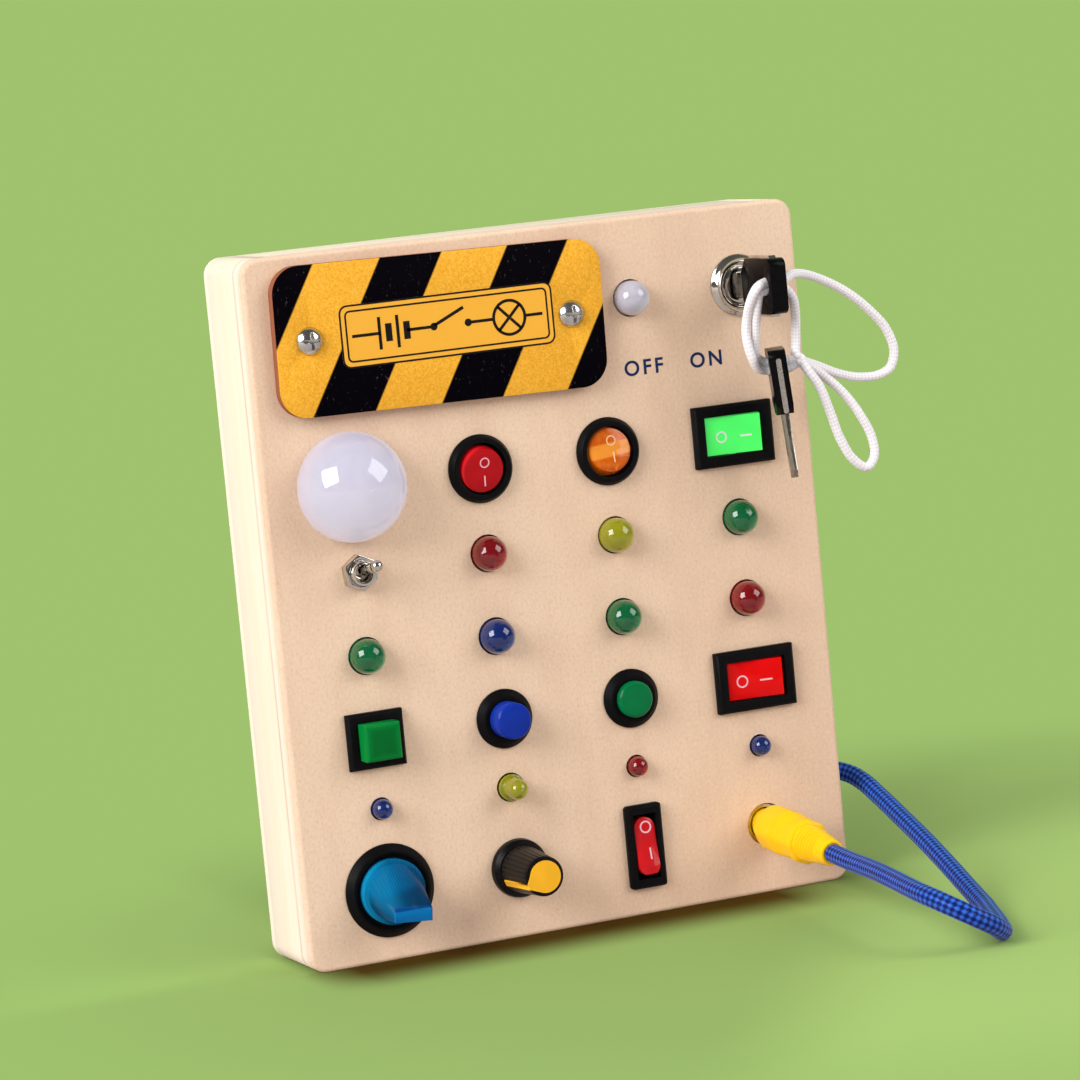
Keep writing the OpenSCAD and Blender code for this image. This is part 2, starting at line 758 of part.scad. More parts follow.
module plate_screws() {
    color(steel) for (p = plate_screws_at) at(p[0], p[1]) {
        difference() {
            translate([0, 0, plate_t]) pan_head(plate_head_d, plate_head_h);
            translate([0, 0, plate_t + plate_head_h]) cross_recess(4.2, 1.3, 0.8);
        }
        tube_between(-front_t - nut_t - 1, plate_t, plate_screw_d);
    }
}

// A low round head: a disc under a flattened ball.
module pan_head(d, h) {
    ball = (d * d / 4 + h * h) / (2 * h);
    intersection() {
        translate([0, 0, h - ball]) sphere(ball);
        cylinder(h = h, d = d);
    }
}

module hex_nuts() {
    color(steel) {
        for (p = plate_screws_at) at(p[0], p[1])
            translate([0, 0, -front_t - nut_t]) hex_nut(small_nut_w, plate_screw_d + 2 * run_gap, nut_t);
        for (i = [1, 2]) at(col[i], button_row) translate([0, 0, -front_t - nut_t])
            hex_nut(button_nut_w, button_barrel_d + 2 * run_gap, nut_t);
        at(lock_x, lock_row) translate([0, 0, -front_t - nut_t]) rotate([0, 0, 30])
            hex_nut(lock_nut_w, lock_barrel_d + 2 * run_gap, nut_t);
        at(col[1], knob_row) hex_nut(dial_nut_w, bush_d + 2 * run_gap, dial_nut_t);
    }
}

// ---- Lock, keys and key cord ----

module lock_body() {
    color(steel) at(lock_x, lock_row) difference() {
        rotate_extrude() polygon([
            [core_d / 2 + run_gap, -lock_depth], [lock_barrel_d / 2, -lock_depth],
            [lock_barrel_d / 2, 0], [lock_flange_d / 2, 0], [lock_flange_d / 2, 0.6],
            [lock_flange_d / 2 - 1.3, 1.7], [lock_flange_d / 2 - 1.7, lock_flange_h],
            [lock_flange_d / 2 - 2.4, lock_flange_h], [core_d / 2 + 0.5, 1.6],
            [core_d / 2 + run_gap, 1.6]
        ]);
    }
}

module lock_core() {
    cam_l = 1.6;
    color(steel) at(lock_x, lock_row) difference() {
        union() {
            tube_between(-lock_depth - 0.3, lock_flange_h - 0.4, core_d);
            translate([0, 0, -lock_depth - 0.3 - cam_l]) cylinder(h = cam_l, d = core_d + 1.5);
        }
        block(blade_t + 2 * run_gap, blade_w + 2 * run_gap, -slot_l - 1, lock_flange_h);
    }
}

// A key blade: x is its thickness, y its width, and it runs from z = 0 down to its tip.
module blade_solid() {
    tooth = 1.1;
    steps = 5;
    pitch = (blade_l - 5.5) / steps;
    notches = [for (i = [0 : steps - 1], e = [0, 1])
        [blade_w / 2 - (e == 1 ? tooth * (0.5 + 0.5 * (i % 2)) : 0), -4 - pitch * (i + e / 2)]];
    translate([-blade_t / 2, 0, 0]) rotate([90, 0, 90]) linear_extrude(blade_t)
        polygon(concat([[-blade_w / 2, 0], [blade_w / 2, 0]], notches,
            [[blade_w / 2 - tooth, -blade_l + 1.5], [0.4, -blade_l], [-0.8, -blade_l],
                [-blade_w / 2, -blade_l + 2]]));
}

// A key head: it stands on z = 0, with a sloping shoulder and a cord hole near its end.
module bow_solid() {
    head_l = bow_l - bow_shoulder;
    translate([-bow_t / 2, 0, 0]) rotate([90, 0, 90]) difference() {
        linear_extrude(bow_t) union() {
            polygon([[-bow_w / 4, 0], [bow_w / 4, 0], [bow_w / 2, bow_shoulder],
                [bow_w / 2, bow_l / 2], [-bow_w / 2, bow_l / 2], [-bow_w / 2, bow_shoulder]]);
            translate([0, bow_shoulder + head_l / 2]) rounded_rect(bow_w, head_l, bow_round);
        }
        translate([0, bow_l - hole_from_end, -1]) cylinder(h = bow_t + 2, d = bow_hole_d);
    }
}

module at_key() {
    at(lock_x, lock_row) translate([0, 0, key_out]) children();
}

// The spare key hangs head up beside the lock, almost edge on.
spare_hole = [lock_x + 2, front_y - 14.2, lock_row - 20.3];
spare_turn = -23;
spare_lean = -4;

module at_spare() {
    translate(spare_hole) rotate([0, 0, spare_turn]) rotate([0, spare_lean, 0])
        translate([0, 0, hole_from_end - bow_l]) children();
}

module key_blade() {
    color(steel) at_key() blade_solid();
}

module key_bow() {
    color(black) at_key() bow_solid();
}

module spare_key_blade() {
    color(steel) at_spare() blade_solid();
}

module spare_key_bow() {
    color(black) at_spare() bow_solid();
}

module key_cord() {
    color("white") translate(cord_shift) {
        for (loop = key_cord_loops) swept_cord(loop, key_cord_d, 8);
        translate(knot_at) sphere(d = knot_d, $fn = 10);
    }
}

// ---- Lamps ----

large_lamps = [
    [col[1], upper_lamp_row], [col[2], upper_lamp_row], [col[3], upper_lamp_row],
    [col[0], lower_lamp_row], [col[1], lower_lamp_row], [col[2], lower_lamp_row],
    [col[3], lower_lamp_row], [indicator_x, lock_row]
];
small_lamps = [[col[0], small_lamp_row], [col[2], small_lamp_row], [col[3], small_lamp_row]];
proud_lamp = [col[1], small_lamp_row];

// A moulded lamp: dome, collar behind the panel and two legs.
module lamp(p, d, h, collar) {
    at(p[0], p[1]) {
        translate([0, 0, h - d / 2]) sphere(d = d);
        tube_between(collar - lamp_flange_t, h - d / 2, d);
        tube_between(collar - lamp_flange_t, collar, d + 2 * lamp_flange);
        for (s = [-1, 1]) translate([s * leg_pitch / 2, 0, 0])
            block(leg_w, leg_w, collar - lamp_flange_t - leg_l, collar - lamp_flange_t);
    }
}

module large_lamp(p) {
    lamp(p, large_lamp_d, large_lamp_h, -front_t);
}

module small_lamp(p) {
    lamp(p, small_lamp_d, small_lamp_h, -front_t);
}

module indicator_lamp() {
    color([0.75, 0.73, 0.77]) large_lamp(large_lamps[7]);
}

module red_lamps() {
    color([0.55, 0.05, 0.07]) {
        large_lamp(large_lamps[0]);
        large_lamp(large_lamps[6]);
        small_lamp(small_lamps[1]);
    }
}

module yellow_lamps() {
    color([0.68, 0.65, 0.13]) {
        large_lamp(large_lamps[1]);
        lamp(proud_lamp, small_lamp_d, proud_lamp_h, 1);
    }
}

module green_lamps() {
    color([0.05, 0.4, 0.2]) for (i = [2, 3, 5]) large_lamp(large_lamps[i]);
}

module blue_lamps() {
    color([0.08, 0.17, 0.42]) {
        large_lamp(large_lamps[4]);
        small_lamp(small_lamps[0]);
        small_lamp(small_lamps[2]);
    }
}

module dome_lens() {
    color([0.88, 0.87, 0.92]) at(col[0], switch_row) difference() {
        intersection() {
            translate([0, 0, dome_lift]) sphere(d = dome_d);
            cylinder(h = dome_d, d = dome_d + 1);
        }
        translate([0, 0, dome_lift]) sphere(d = dome_d - 2 * dome_wall);
    }
}

// The dome's holder: a rimmed cup through the panel with a lamp on top.
module dome_base() {
    rim_t = 1.2;
    rim_gap = 0.4;
    color("white") at(col[0], switch_row) {
        tube_between(-dome_base_depth, rim_t, dome_base_d);
        tube_between(0, rim_t, dome_d - 2 * dome_wall - 2 * rim_gap);
        tube_between(rim_t, rim_t + bulb_d, bulb_d);
        translate([0, 0, rim_t + bulb_d]) sphere(d = bulb_d);
    }
}

// ---- Toggle ----

module at_toggle() {
    at(col[0], upper_lamp_row) rotate([0, 0, -toggle_turn]) children();
}

module toggle_body() {
    bore = toggle_bush_d - 1.4;
    color(steel) at_toggle() difference() {
        union() {
            tube_between(-front_t - 1, toggle_bush_h, toggle_bush_d);
            block(toggle_body_w, toggle_body_l, -front_t - toggle_body_d, -front_t);
        }
        tube_between(-front_t - 2, toggle_bush_h + 1, bore);
    }
}

module toggle_nut() {
    color(steel) at_toggle() hex_nut(toggle_nut_w, toggle_bush_d + 2 * run_gap, 2.6);
}

// The lever pivots on a ball inside the bushing and ends in a rounded tip.
module toggle_lever() {
    ball_d = toggle_bush_d - 1.4 - 2 * run_gap;
    reach = toggle_h - toggle_pivot_h - lever_tip_d / 2;
    color(steel) at_toggle() translate([0, 0, toggle_pivot_h]) rotate([-toggle_tilt, 0, 0]) {
        sphere(d = ball_d);
        cylinder(h = reach, d1 = lever_d, d2 = lever_tip_d - 0.3);
        translate([0, 0, reach]) sphere(d = lever_tip_d);
        translate([0, 0, -3.4]) cylinder(h = 3, d = lever_d - 0.6);
    }
}

// ---- Rocker switches ----

function swing_r(l) = norm([l / 2, rocker_mid + l / 2 * tan(rocker_facet)]);

// Bodies behind the panel: the swing of the rocker plus a wall.
wide_body_l = 2 * (swing_r(wide_rocker_l) + swing_gap + body_wall);
wide_body_w = wide_rocker_w + 2 * (swing_gap + body_wall);
mini_body_l = 2 * (swing_r(mini_rocker_l) + swing_gap + body_wall);
mini_body_w = mini_rocker_w + 2 * (swing_gap + body_wall);
round_swing = norm([round_rocker_d / 2, pivot_depth]);
round_window_d = 2 * (round_swing + swing_gap);
round_body_d = round_window_d + 2 * body_wall;

// Side view of a rocker about its pivot: two sloping halves, round ends and a flat foot.
module rocker_section(l) {
    rise = rocker_mid + l / 2 * tan(rocker_facet);
    intersection() {
        circle(swing_r(l));
        polygon([[-l / 2, rise], [0, rocker_mid], [l / 2, rise], [l, 0], [l, -rocker_drop],
            [-l, -rocker_drop], [-l, 0]]);
    }
}

// A rocker that rocks along y about a pin along x, at its pivot's height.
module rocker_bar(l, w, tilt) {
    translate([0, 0, -pivot_depth]) rotate([tilt, 0, 0]) {
        rotate([90, 0, 90]) linear_extrude(w, center = true) rocker_section(l);
        pivot_pin(w + 2 * swing_gap);
    }
}

module pivot_pin(window) {
    rotate([0, 90, 0]) cylinder(h = window + 2 * pin_reach, d = pivot_d, center = true);
}

module pivot_bore(window) {
    translate([0, 0, -pivot_depth]) rotate([0, 90, 0])
        cylinder(h = window + 2 * pocket_reach, d = pivot_d + 2 * run_gap, center = true);
}

module rect_housing(l, w, bezel_l, bezel_w, corner) {
    window_l = 2 * (swing_r(l) + swing_gap);
    window_w = w + 2 * swing_gap;
    body_l = window_l + 2 * body_wall;
    body_w = window_w + 2 * body_wall;
    difference() {
        union() {
            intersection() {
                chamfered_plate(bezel_w, bezel_l, bezel_t, 0.7);
                translate([0, 0, -1]) linear_extrude(bezel_t + 2)
                    rounded_rect(bezel_w, bezel_l, corner);
            }
            block(body_w, body_l, -switch_depth, 0);
        }
        block(window_w, window_l, floor_t - switch_depth, bezel_t + 1);
        pivot_bore(window_w);
    }
}

module round_housing() {
    color(black) difference() {
        union() {
            rotate_extrude() polygon([
                [0, 0], [round_bezel_d / 2, 0], [round_bezel_d / 2, 0.6],
                [round_bezel_d / 2 - 0.9, bezel_t], [0, bezel_t]
            ]);
            tube_between(-switch_depth, 0, round_body_d);
        }
        tube_between(floor_t - switch_depth, bezel_t + 1, round_window_d);
        pivot_bore(round_window_d);
    }
}

// A round rocker: the bar's side view cut from a cylinder whose upper edge is rounded.
module round_rocker(tilt) {
    r = round_rocker_d / 2;
    top = rocker_mid + r * tan(rocker_facet) + 1;
    translate([0, 0, -pivot_depth]) rotate([tilt, 0, 0]) {
        intersection() {
            rotate([90, 0, 90]) linear_extrude(2 * r + 1, center = true)
                rocker_section(2 * r - 1.2);
            rotate_extrude() polygon([[0, -rocker_drop - 1], [r, -rocker_drop - 1], [r, 0.6],
                [r - 0.9, top], [0, top]]);
        }
        pivot_pin(round_window_d);
    }
}

module red_round_housing() {
    at(col[1], switch_row) round_housing();
}

module red_round_rocker() {
    color(red) at(col[1], switch_row) round_rocker(rocker_tilt);
}

module amber_round_housing() {
    at(col[2], switch_row) round_housing();
}

module amber_round_rocker() {
    color([0.9, 0.5, 0.08]) at(col[2], switch_row) round_rocker(-rocker_tilt);
}

module wide_housing(z) {
    color(black) at(col[3], z) rotate([0, 0, -90])
        rect_housing(wide_rocker_l, wide_rocker_w, wide_bezel_l, wide_bezel_w, wide_corner_r);
}

module wide_rocker(z, tilt) {
    at(col[3], z) rotate([0, 0, -90]) rocker_bar(wide_rocker_l, wide_rocker_w, tilt);
}

module green_rocker_housing() {
    wide_housing(switch_row);
}

module green_rocker() {
    color([0.3, 0.9, 0.38]) wide_rocker(switch_row, rocker_tilt);
}

module red_rocker_housing() {
    wide_housing(button_row);
}

module red_rocker() {
    color(red) wide_rocker(button_row, rocker_tilt);
}

module mini_rocker_housing() {
    color(black) at(col[2], knob_row)
        rect_housing(mini_rocker_l, mini_rocker_w, mini_bezel_l, mini_bezel_w, mini_corner_r);
}

// The small rocker has half-round ends.
module mini_rocker() {
    color(red) at(col[2], knob_row) intersection() {
        rocker_bar(mini_rocker_l, mini_rocker_w, -rocker_tilt);
        union() {
            translate([0, 0, -4]) linear_extrude(12)
                rounded_rect(mini_rocker_w, mini_rocker_l + 0.1, mini_rocker_w / 2 - 0.01);
            block(mini_rocker_w + 4, pivot_d + 1, -4, 0.4);
        }
    }
}

// ---- Push buttons ----

square_cap_h2 = square_cap_w - 0.2;
square_body_w = square_cap_w + 3.4;
square_body_h = square_body_w - 0.6;

module round_button_housing() {
    color(black) difference() {
        union() {
            rotate_extrude() polygon([
                [0, 0], [button_bezel_d / 2, 0], [button_bezel_d / 2, 0.6],
                [button_bezel_d / 2 - 1.5, bezel_t], [0, bezel_t]
            ]);
            tube_between(-switch_depth, 0, button_barrel_d);
        }
        tube_between(-guide_t - 1, bezel_t + 1, cap_d + 2 * run_gap);
        tube_between(floor_t - switch_depth, -guide_t, cap_d + 2 * (flange_step + run_gap));
    }
}

module round_button_cap(h) {
    edge = 0.5;
    rotate_extrude() polygon([
        [0, -guide_t - 0.1 - cap_flange_t], [cap_d / 2 + flange_step, -guide_t - 0.1 - cap_flange_t],
        [cap_d / 2 + flange_step, -guide_t - 0.1], [cap_d / 2, -guide_t - 0.1],
        [cap_d / 2, h - edge], [cap_d / 2 - edge, h], [0, h]
    ]);
}

module blue_button_housing() {
    at(col[1], button_row) round_button_housing();
}

module blue_button_cap() {
    color(blue) at(col[1], button_row) round_button_cap(blue_cap_h);
}

module green_button_housing() {
    at(col[2], button_row) round_button_housing();
}

module green_button_cap() {
    color(green) at(col[2], button_row) round_button_cap(green_cap_h);
}

module square_button_housing() {
    w = square_cap_w + 4 * run_gap;
    h = square_cap_h2 + 4 * run_gap;
    color(black) at(col[0], button_row) difference() {
        union() {
            chamfered_plate(square_bezel_w, square_bezel_h, bezel_t, 0.7);
            block(square_body_w, square_body_h, -switch_depth, 0);
        }
        block(w, h, -guide_t - 1, bezel_t + 1);
        block(w + 2 * flange_step, h + 2 * flange_step, floor_t - switch_depth, -guide_t);
    }
}

module square_button_cap() {
    color(green) at(col[0], button_row) {
        translate([0, 0, -guide_t - 1])
            chamfered_plate(square_cap_w, square_cap_h2, square_cap_h + guide_t + 1, 0.5);
        block(square_cap_w + 2 * flange_step, square_cap_h2 + 2 * flange_step,
            -guide_t - 0.1 - cap_flange_t, -guide_t - 0.1);
    }
}

// ---- Selector ----

module selector_housing() {
    color(black) at(col[0], knob_row) difference() {
        union() {
            rotate_extrude() polygon([
                [0, 0], [selector_bezel_d / 2, 0], [selector_bezel_d / 2, 0.5],
                [selector_bezel_d / 2 - 1.6, bezel_t], [selector_knob_d / 2 + 1.4, bezel_t],
                [selector_knob_d / 2 + 0.5, bezel_t - 0.7], [0, bezel_t - 0.7]
            ]);
            tube_between(-switch_depth, 0, selector_barrel_d);
        }
        tube_between(0.5, bezel_t + 1, selector_knob_d + 4 * run_gap);
        tube_between(-switch_depth + floor_t, 1, selector_shaft_d + 2 * run_gap);
    }
}

// The knob: a round foot, and a grip that narrows to a ridge below the middle.
module selector_knob() {
    grip_d = selector_knob_d - 2.2;
    color([0.12, 0.45, 0.62]) at(col[0], knob_row) {
        tube_between(-switch_depth + floor_t + 0.5, 0.8, selector_shaft_d);
        tube_between(0.6, selector_foot_h, selector_knob_d);
        hull() {
            translate([0, 0, selector_foot_h]) cylinder(h = 1, d = grip_d, $fn = 40);
            rotate([0, 0, -selector_rest]) translate([0, ridge_y, 0])
                block(ridge_l, ridge_w, selector_h - 0.8, selector_h);
        }
    }
}

// ---- Dial ----

module dial_body() {
    color(steel) at(col[1], knob_row) difference() {
        union() {
            tube_between(-front_t - dial_can_t, -front_t, dial_can_d);
            tube_between(-front_t - 1, dial_nut_t + 0.5, bush_d);
        }
        tube_between(1 - front_t - dial_can_t, dial_nut_t + 1, shaft_d + 2 * run_gap);
    }
}

module dial_shaft() {
    color(steel) at(col[1], knob_row)
        tube_between(1.5 - front_t - dial_can_t, dial_h - dial_top_t, shaft_d);
}

module at_pointer() {
    at(col[1], knob_row) rotate([0, 0, pointer_angle]) children();
}

// The pointer's side view, from the cap over the edge and down the side of the knob.
module pointer_section() {
    foot = 4.6;
    polygon([[0, dial_h - 0.8], [dial_top_r - 1, dial_h - 0.8], [dial_low_r - 1, foot],
        [dial_low_r + 0.3, foot], [dial_top_r + 0.3, dial_h + dial_cap_t], [0, dial_h + dial_cap_t]]);
}

module pointer_bar() {
    at_pointer() rotate([90, 0, 0]) linear_extrude(pointer_w, center = true) pointer_section();
}

module dial_knob() {
    flute_d = 1;
    flutes = 18;
    color(black) difference() {
        at(col[1], knob_row) rotate_extrude() polygon([
            [shaft_d / 2, dial_nut_t + 1.2], [dial_skirt_d / 2 - 1.2, dial_nut_t + 1.2],
            [dial_skirt_d / 2 - 1.2, dial_foot_h], [dial_skirt_d / 2, dial_foot_h],
            [dial_skirt_d / 2 - 0.2, 2], [dial_low_r, dial_skirt_h], [dial_top_r, dial_h],
            [0, dial_h], [0, dial_h - dial_top_t], [shaft_d / 2, dial_h - dial_top_t]
        ]);
        pointer_bar();
        at(col[1], knob_row) for (k = [1 : flutes - 1])
            rotate([0, 0, pointer_angle + k * 360 / flutes])
                translate([dial_low_r + 0.25, 0, dial_skirt_h + 1.5]) cylinder(h = dial_h, d = flute_d);
    }
}

module dial_pointer() {
    color(yellow) {
        pointer_bar();
        at(col[1], knob_row) tube_between(dial_h, dial_h + dial_cap_t, 2 * dial_top_r - 2);
    }
}

// ---- Plug, socket and lead ----

// Draws along the plug's axis, which hangs a little below level.
module at_plug() {
    at(col[3], knob_row) rotate([plug_droop, 0, 0]) children();
}

module jack_socket() {
    color(black) difference() {
        at(col[3], knob_row) {
            tube_between(-front_t - 1.5, -front_t, socket_flange_d);
            tube_between(-socket_depth, -front_t, socket_d);
        }
        at_plug() tube_between(-pin_l - plug_in - 1, 1, pin_d + 2 * run_gap);
        at_plug() tube_between(-plug_in - 0.3, 1, plug_nose_d + 0.6);
    }
}

module plug() {
    grip_r = plug_d / 2;
    color(yellow) at_plug() rotate_extrude() polygon([
        [0, -plug_in], [plug_nose_d / 2, -plug_in], [plug_nose_d / 2, 0.2],
        [(plug_nose_d / 2 + grip_r) / 2, 2], [grip_r - 0.4, 3.8], [grip_r, 6],
        [grip_r, plug_grip_l - 10], [plug_collar_d / 2 - 0.3, plug_grip_l - 3.5],
        [plug_collar_d / 2, plug_grip_l - 3], [plug_collar_d / 2, plug_grip_l - 1],
        [plug_collar_d / 2 - 0.9, plug_grip_l], [plug_tip_d / 2, plug_l], [0, plug_l]
    ]);
}

module plug_pin() {
    color(steel) at_plug() tube_between(-plug_in - pin_l, -plug_in, pin_d);
}

module blue_lead() {
    color([0.16, 0.33, 0.75]) swept_cord(lead_points, lead_d, 10);
}

module lead_grommet() {
    color(black) translate([board_w / 2, 0, lead_exit_z]) rotate([0, 90, 0]) difference() {
        union() {
            tube_between(-rail_t - 0.5, 0, grommet_d);
            tube_between(0, grommet_lip_t, grommet_lip_d);
            tube_between(-rail_t - 1.5, -rail_t, grommet_lip_d);
        }
        tube_between(-0.01, grommet_lip_t + 1, lead_d + 2 * run_gap);
    }
}

front_panel();
left_rail();
right_rail();
top_rail();
bottom_rail();
back_panel();
wood_screws();
battery_box();
batteries();
battery_contacts();
battery_door();
hazard_plate();
plate_screws();
hex_nuts();
terminals();
wiring();
lock_body();
lock_core();
key_blade();
key_bow();
spare_key_blade();
spare_key_bow();
key_cord();
indicator_lamp();
dome_lens();
dome_base();
toggle_body();
toggle_nut();
toggle_lever();
red_round_housing();
red_round_rocker();
amber_round_housing();
amber_round_rocker();
green_rocker_housing();
green_rocker();
red_rocker_housing();
red_rocker();
mini_rocker_housing();
mini_rocker();
square_button_housing();
square_button_cap();
blue_button_housing();
blue_button_cap();
green_button_housing();
green_button_cap();
red_lamps();
yellow_lamps();
green_lamps();
blue_lamps();
selector_housing();
selector_knob();
dial_body();
dial_shaft();
dial_knob();
dial_pointer();
jack_socket();
plug();
plug_pin();
blue_lead();
lead_grommet();
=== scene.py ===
"""Wooden busy board: materials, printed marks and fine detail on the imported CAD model."""
import math

import bpy
from mathutils import Matrix, Quaternion, Vector
from mathutils.bvhtree import BVHTree
from mathutils.geometry import tessellate_polygon


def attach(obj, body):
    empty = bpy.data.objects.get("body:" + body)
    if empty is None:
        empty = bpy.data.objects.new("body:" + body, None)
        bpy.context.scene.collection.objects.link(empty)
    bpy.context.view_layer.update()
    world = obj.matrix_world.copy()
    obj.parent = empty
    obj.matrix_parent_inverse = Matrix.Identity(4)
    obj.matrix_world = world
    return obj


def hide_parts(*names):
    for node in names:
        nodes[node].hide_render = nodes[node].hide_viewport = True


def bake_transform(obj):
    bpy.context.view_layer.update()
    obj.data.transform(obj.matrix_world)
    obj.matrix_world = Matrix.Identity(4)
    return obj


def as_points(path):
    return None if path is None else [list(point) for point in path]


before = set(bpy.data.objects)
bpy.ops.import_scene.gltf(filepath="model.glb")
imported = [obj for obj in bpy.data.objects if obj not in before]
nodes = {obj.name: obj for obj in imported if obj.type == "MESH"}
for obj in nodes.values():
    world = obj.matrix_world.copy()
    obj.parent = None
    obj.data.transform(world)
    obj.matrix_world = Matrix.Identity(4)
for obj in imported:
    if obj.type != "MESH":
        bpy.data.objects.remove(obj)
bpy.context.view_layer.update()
scene = bpy.context.scene

MM = 0.001
FRONT = -0.014                      # the panel's front face, in metres along y
COL = (-52.5, -17.5, 17.5, 52.5)    # the columns, in mm along x
KNOB_ROW = 17.8                     # the rows, in mm above the floor
SQUARE_ROW = 55.8
DOME_ROW = 118.9
ROUND_ROCKER_ROW = 119.3
PLATE_ROW = 155.4
DIAL_TURN = math.radians(203)       # where the dial's pointer points
PLUG_DROOP = math.radians(4.5)      # how far the plug's axis hangs below level
LEAD_STRANDS, LEAD_PITCH = 5, 0.0030
CORD_STRANDS, CORD_PITCH = 5, 0.0020

CAMERA_AT = (-0.4432, -1.0415, 0.2281)
CAMERA_RIGHT = (0.9108, -0.4019, -0.0941)
CAMERA_BACK = (-0.3911, -0.9132, 0.1147)
FOCAL_PX, FRAME_PX, SENSOR_MM = 4495, 1080, 36


# ---- Camera ----

def make_camera():
    """The camera, fitted to the board's straight edges."""
    right = Vector(CAMERA_RIGHT).normalized()
    back = Vector(CAMERA_BACK)
    back = (back - right * back.dot(right)).normalized()
    up = back.cross(right)
    cam = bpy.data.objects.new("camera", bpy.data.cameras.new("camera"))
    scene.collection.objects.link(cam)
    cam.matrix_world = Matrix((
        (right.x, up.x, back.x, CAMERA_AT[0]),
        (right.y, up.y, back.y, CAMERA_AT[1]),
        (right.z, up.z, back.z, CAMERA_AT[2]),
        (0, 0, 0, 1)))
    cam.data.lens = FOCAL_PX / FRAME_PX * SENSOR_MM
    cam.data.sensor_width = SENSOR_MM
    cam.data.clip_start = 0.05
    cam.data.clip_end = 100
    scene.camera = cam


make_camera()


# ---- Colour and node helpers ----

def rgb(r, g, b):
    """An sRGB colour of 0 to 255 as linear RGBA."""
    out = []
    for v in (r, g, b):
        v /= 255
        out.append(v / 12.92 if v <= 0.04045 else ((v + 0.055) / 1.055) ** 2.4)
    return (*out, 1)


class Nodes:
    """Short calls for the nodes of a tree."""

    def __init__(self, tree):
        self.tree = tree

    def node(self, kind, inputs=(), **props):
        n = self.tree.nodes.new(kind)
        for k, v in props.items():
            setattr(n, k, v)
        for k, v in dict(inputs).items():
            if isinstance(v, bpy.types.NodeSocket):
                self.tree.links.new(v, n.inputs[k])
            else:
                n.inputs[k].default_value = v
        return n

    def xyz(self, vector):
        n = self.node("ShaderNodeSeparateXYZ", {"Vector": vector})
        return n.outputs["X"], n.outputs["Y"], n.outputs["Z"]

    def range(self, value, a, b, lo=0.0, hi=1.0, smooth=False):
        """lo to hi as the value goes from a to b, and level beyond."""
        n = self.node("ShaderNodeMapRange", {"Value": value, "From Min": a, "From Max": b,
                                             "To Min": lo, "To Max": hi},
                      interpolation_type="SMOOTHSTEP" if smooth else "LINEAR")
        return n.outputs["Result"]

    def math(self, op, a, b=0.0):
        n = self.node("ShaderNodeMath", {0: a, 1: b}, operation=op)
        return n.outputs["Value"]

    def add(self, a, b):
        return self.math("ADD", a, b)

    def sub(self, a, b):
        return self.math("SUBTRACT", a, b)

    def mul(self, a, b):
        return self.math("MULTIPLY", a, b)

    def hypot(self, a, b):
        return self.math("SQRT", self.add(self.mul(a, a), self.mul(b, b)))

    def mix(self, fac, a, b):
        """Colour a at a factor of 0, b at 1."""
        n = self.node("ShaderNodeMix", {0: fac, 6: a, 7: b}, data_type="RGBA", blend_type="MIX")
        return n.outputs[2]


class Finish(Nodes):
    """A material with short calls for the nodes that feed its shader."""

    def __init__(self, name, **sockets):
        self.mat = bpy.data.materials.new(name)
        self.mat.use_nodes = True
        super().__init__(self.mat.node_tree)
        self.shader = self.tree.nodes["Principled BSDF"]
        for key, value in sockets.items():
            self.shader.inputs[SOCKETS[key]].default_value = value
        self.coord = self.tree.nodes.new("ShaderNodeTexCoord")

    def link(self, out, socket):
        self.tree.links.new(out, self.shader.inputs[socket])

    def place(self, scale=(1, 1, 1), rotation=(0, 0, 0), uv=False):
        source = self.coord.outputs["UV" if uv else "Object"]
        n = self.node("ShaderNodeMapping", {"Vector": source, "Scale": scale, "Rotation": rotation})
        return n.outputs["Vector"]

    def noise(self, vector, scale=1.0, detail=2.0, rough=0.5, distortion=0.0):
        n = self.node("ShaderNodeTexNoise", {"Vector": vector, "Scale": scale, "Detail": detail,
                                             "Roughness": rough, "Distortion": distortion})
        return n.outputs["Fac"]

    def fleck(self, scale, detail=3.0, rough=0.6):
        """Noise with the same scale per metre all ways."""
        return self.noise(self.place((scale, scale, scale)), 1.0, detail, rough)

    def broad(self, scale):
        """A softer fleck, for wide patches."""
        return self.fleck(scale, 2.0, 0.5)

    def ramp(self, fac, *stops):
        n = self.node("ShaderNodeValToRGB", {"Fac": fac})
        while len(n.color_ramp.elements) < len(stops):
            n.color_ramp.elements.new(0.5)
        for e, (pos, col) in zip(n.color_ramp.elements, stops):
            e.position = pos
            e.color = (*col, 1)
        return n.outputs["Color"]

    def facing(self, direction):
        """How far the surface faces a direction of the board's own frame, from -1 to 1."""
        ends = {0: self.coord.outputs["Normal"], 1: Vector(direction).normalized()}
        n = self.node("ShaderNodeVectorMath", ends, operation="DOT_PRODUCT")
        return n.outputs["Value"]

    def color(self, out):
        self.link(out, "Base Color")
        return self

    def bump(self, height, strength, distance):
        n = self.node("ShaderNodeBump", {"Height": height, "Strength": strength, "Distance": distance})
        self.link(n.outputs["Normal"], "Normal")


SOCKETS = {
    "rough": "Roughness", "spec": "Specular IOR Level", "ior": "IOR", "metal": "Metallic",
    "coat": "Coat Weight", "coat_rough": "Coat Roughness", "coat_ior": "Coat IOR",
    "sss": "Subsurface Weight", "sss_radius": "Subsurface Radius", "sss_scale": "Subsurface Scale",
    "glow": "Emission Strength", "glow_color": "Emission Color",
    "sheen": "Sheen Weight", "sheen_rough": "Sheen Roughness",
}


# ---- Materials ----

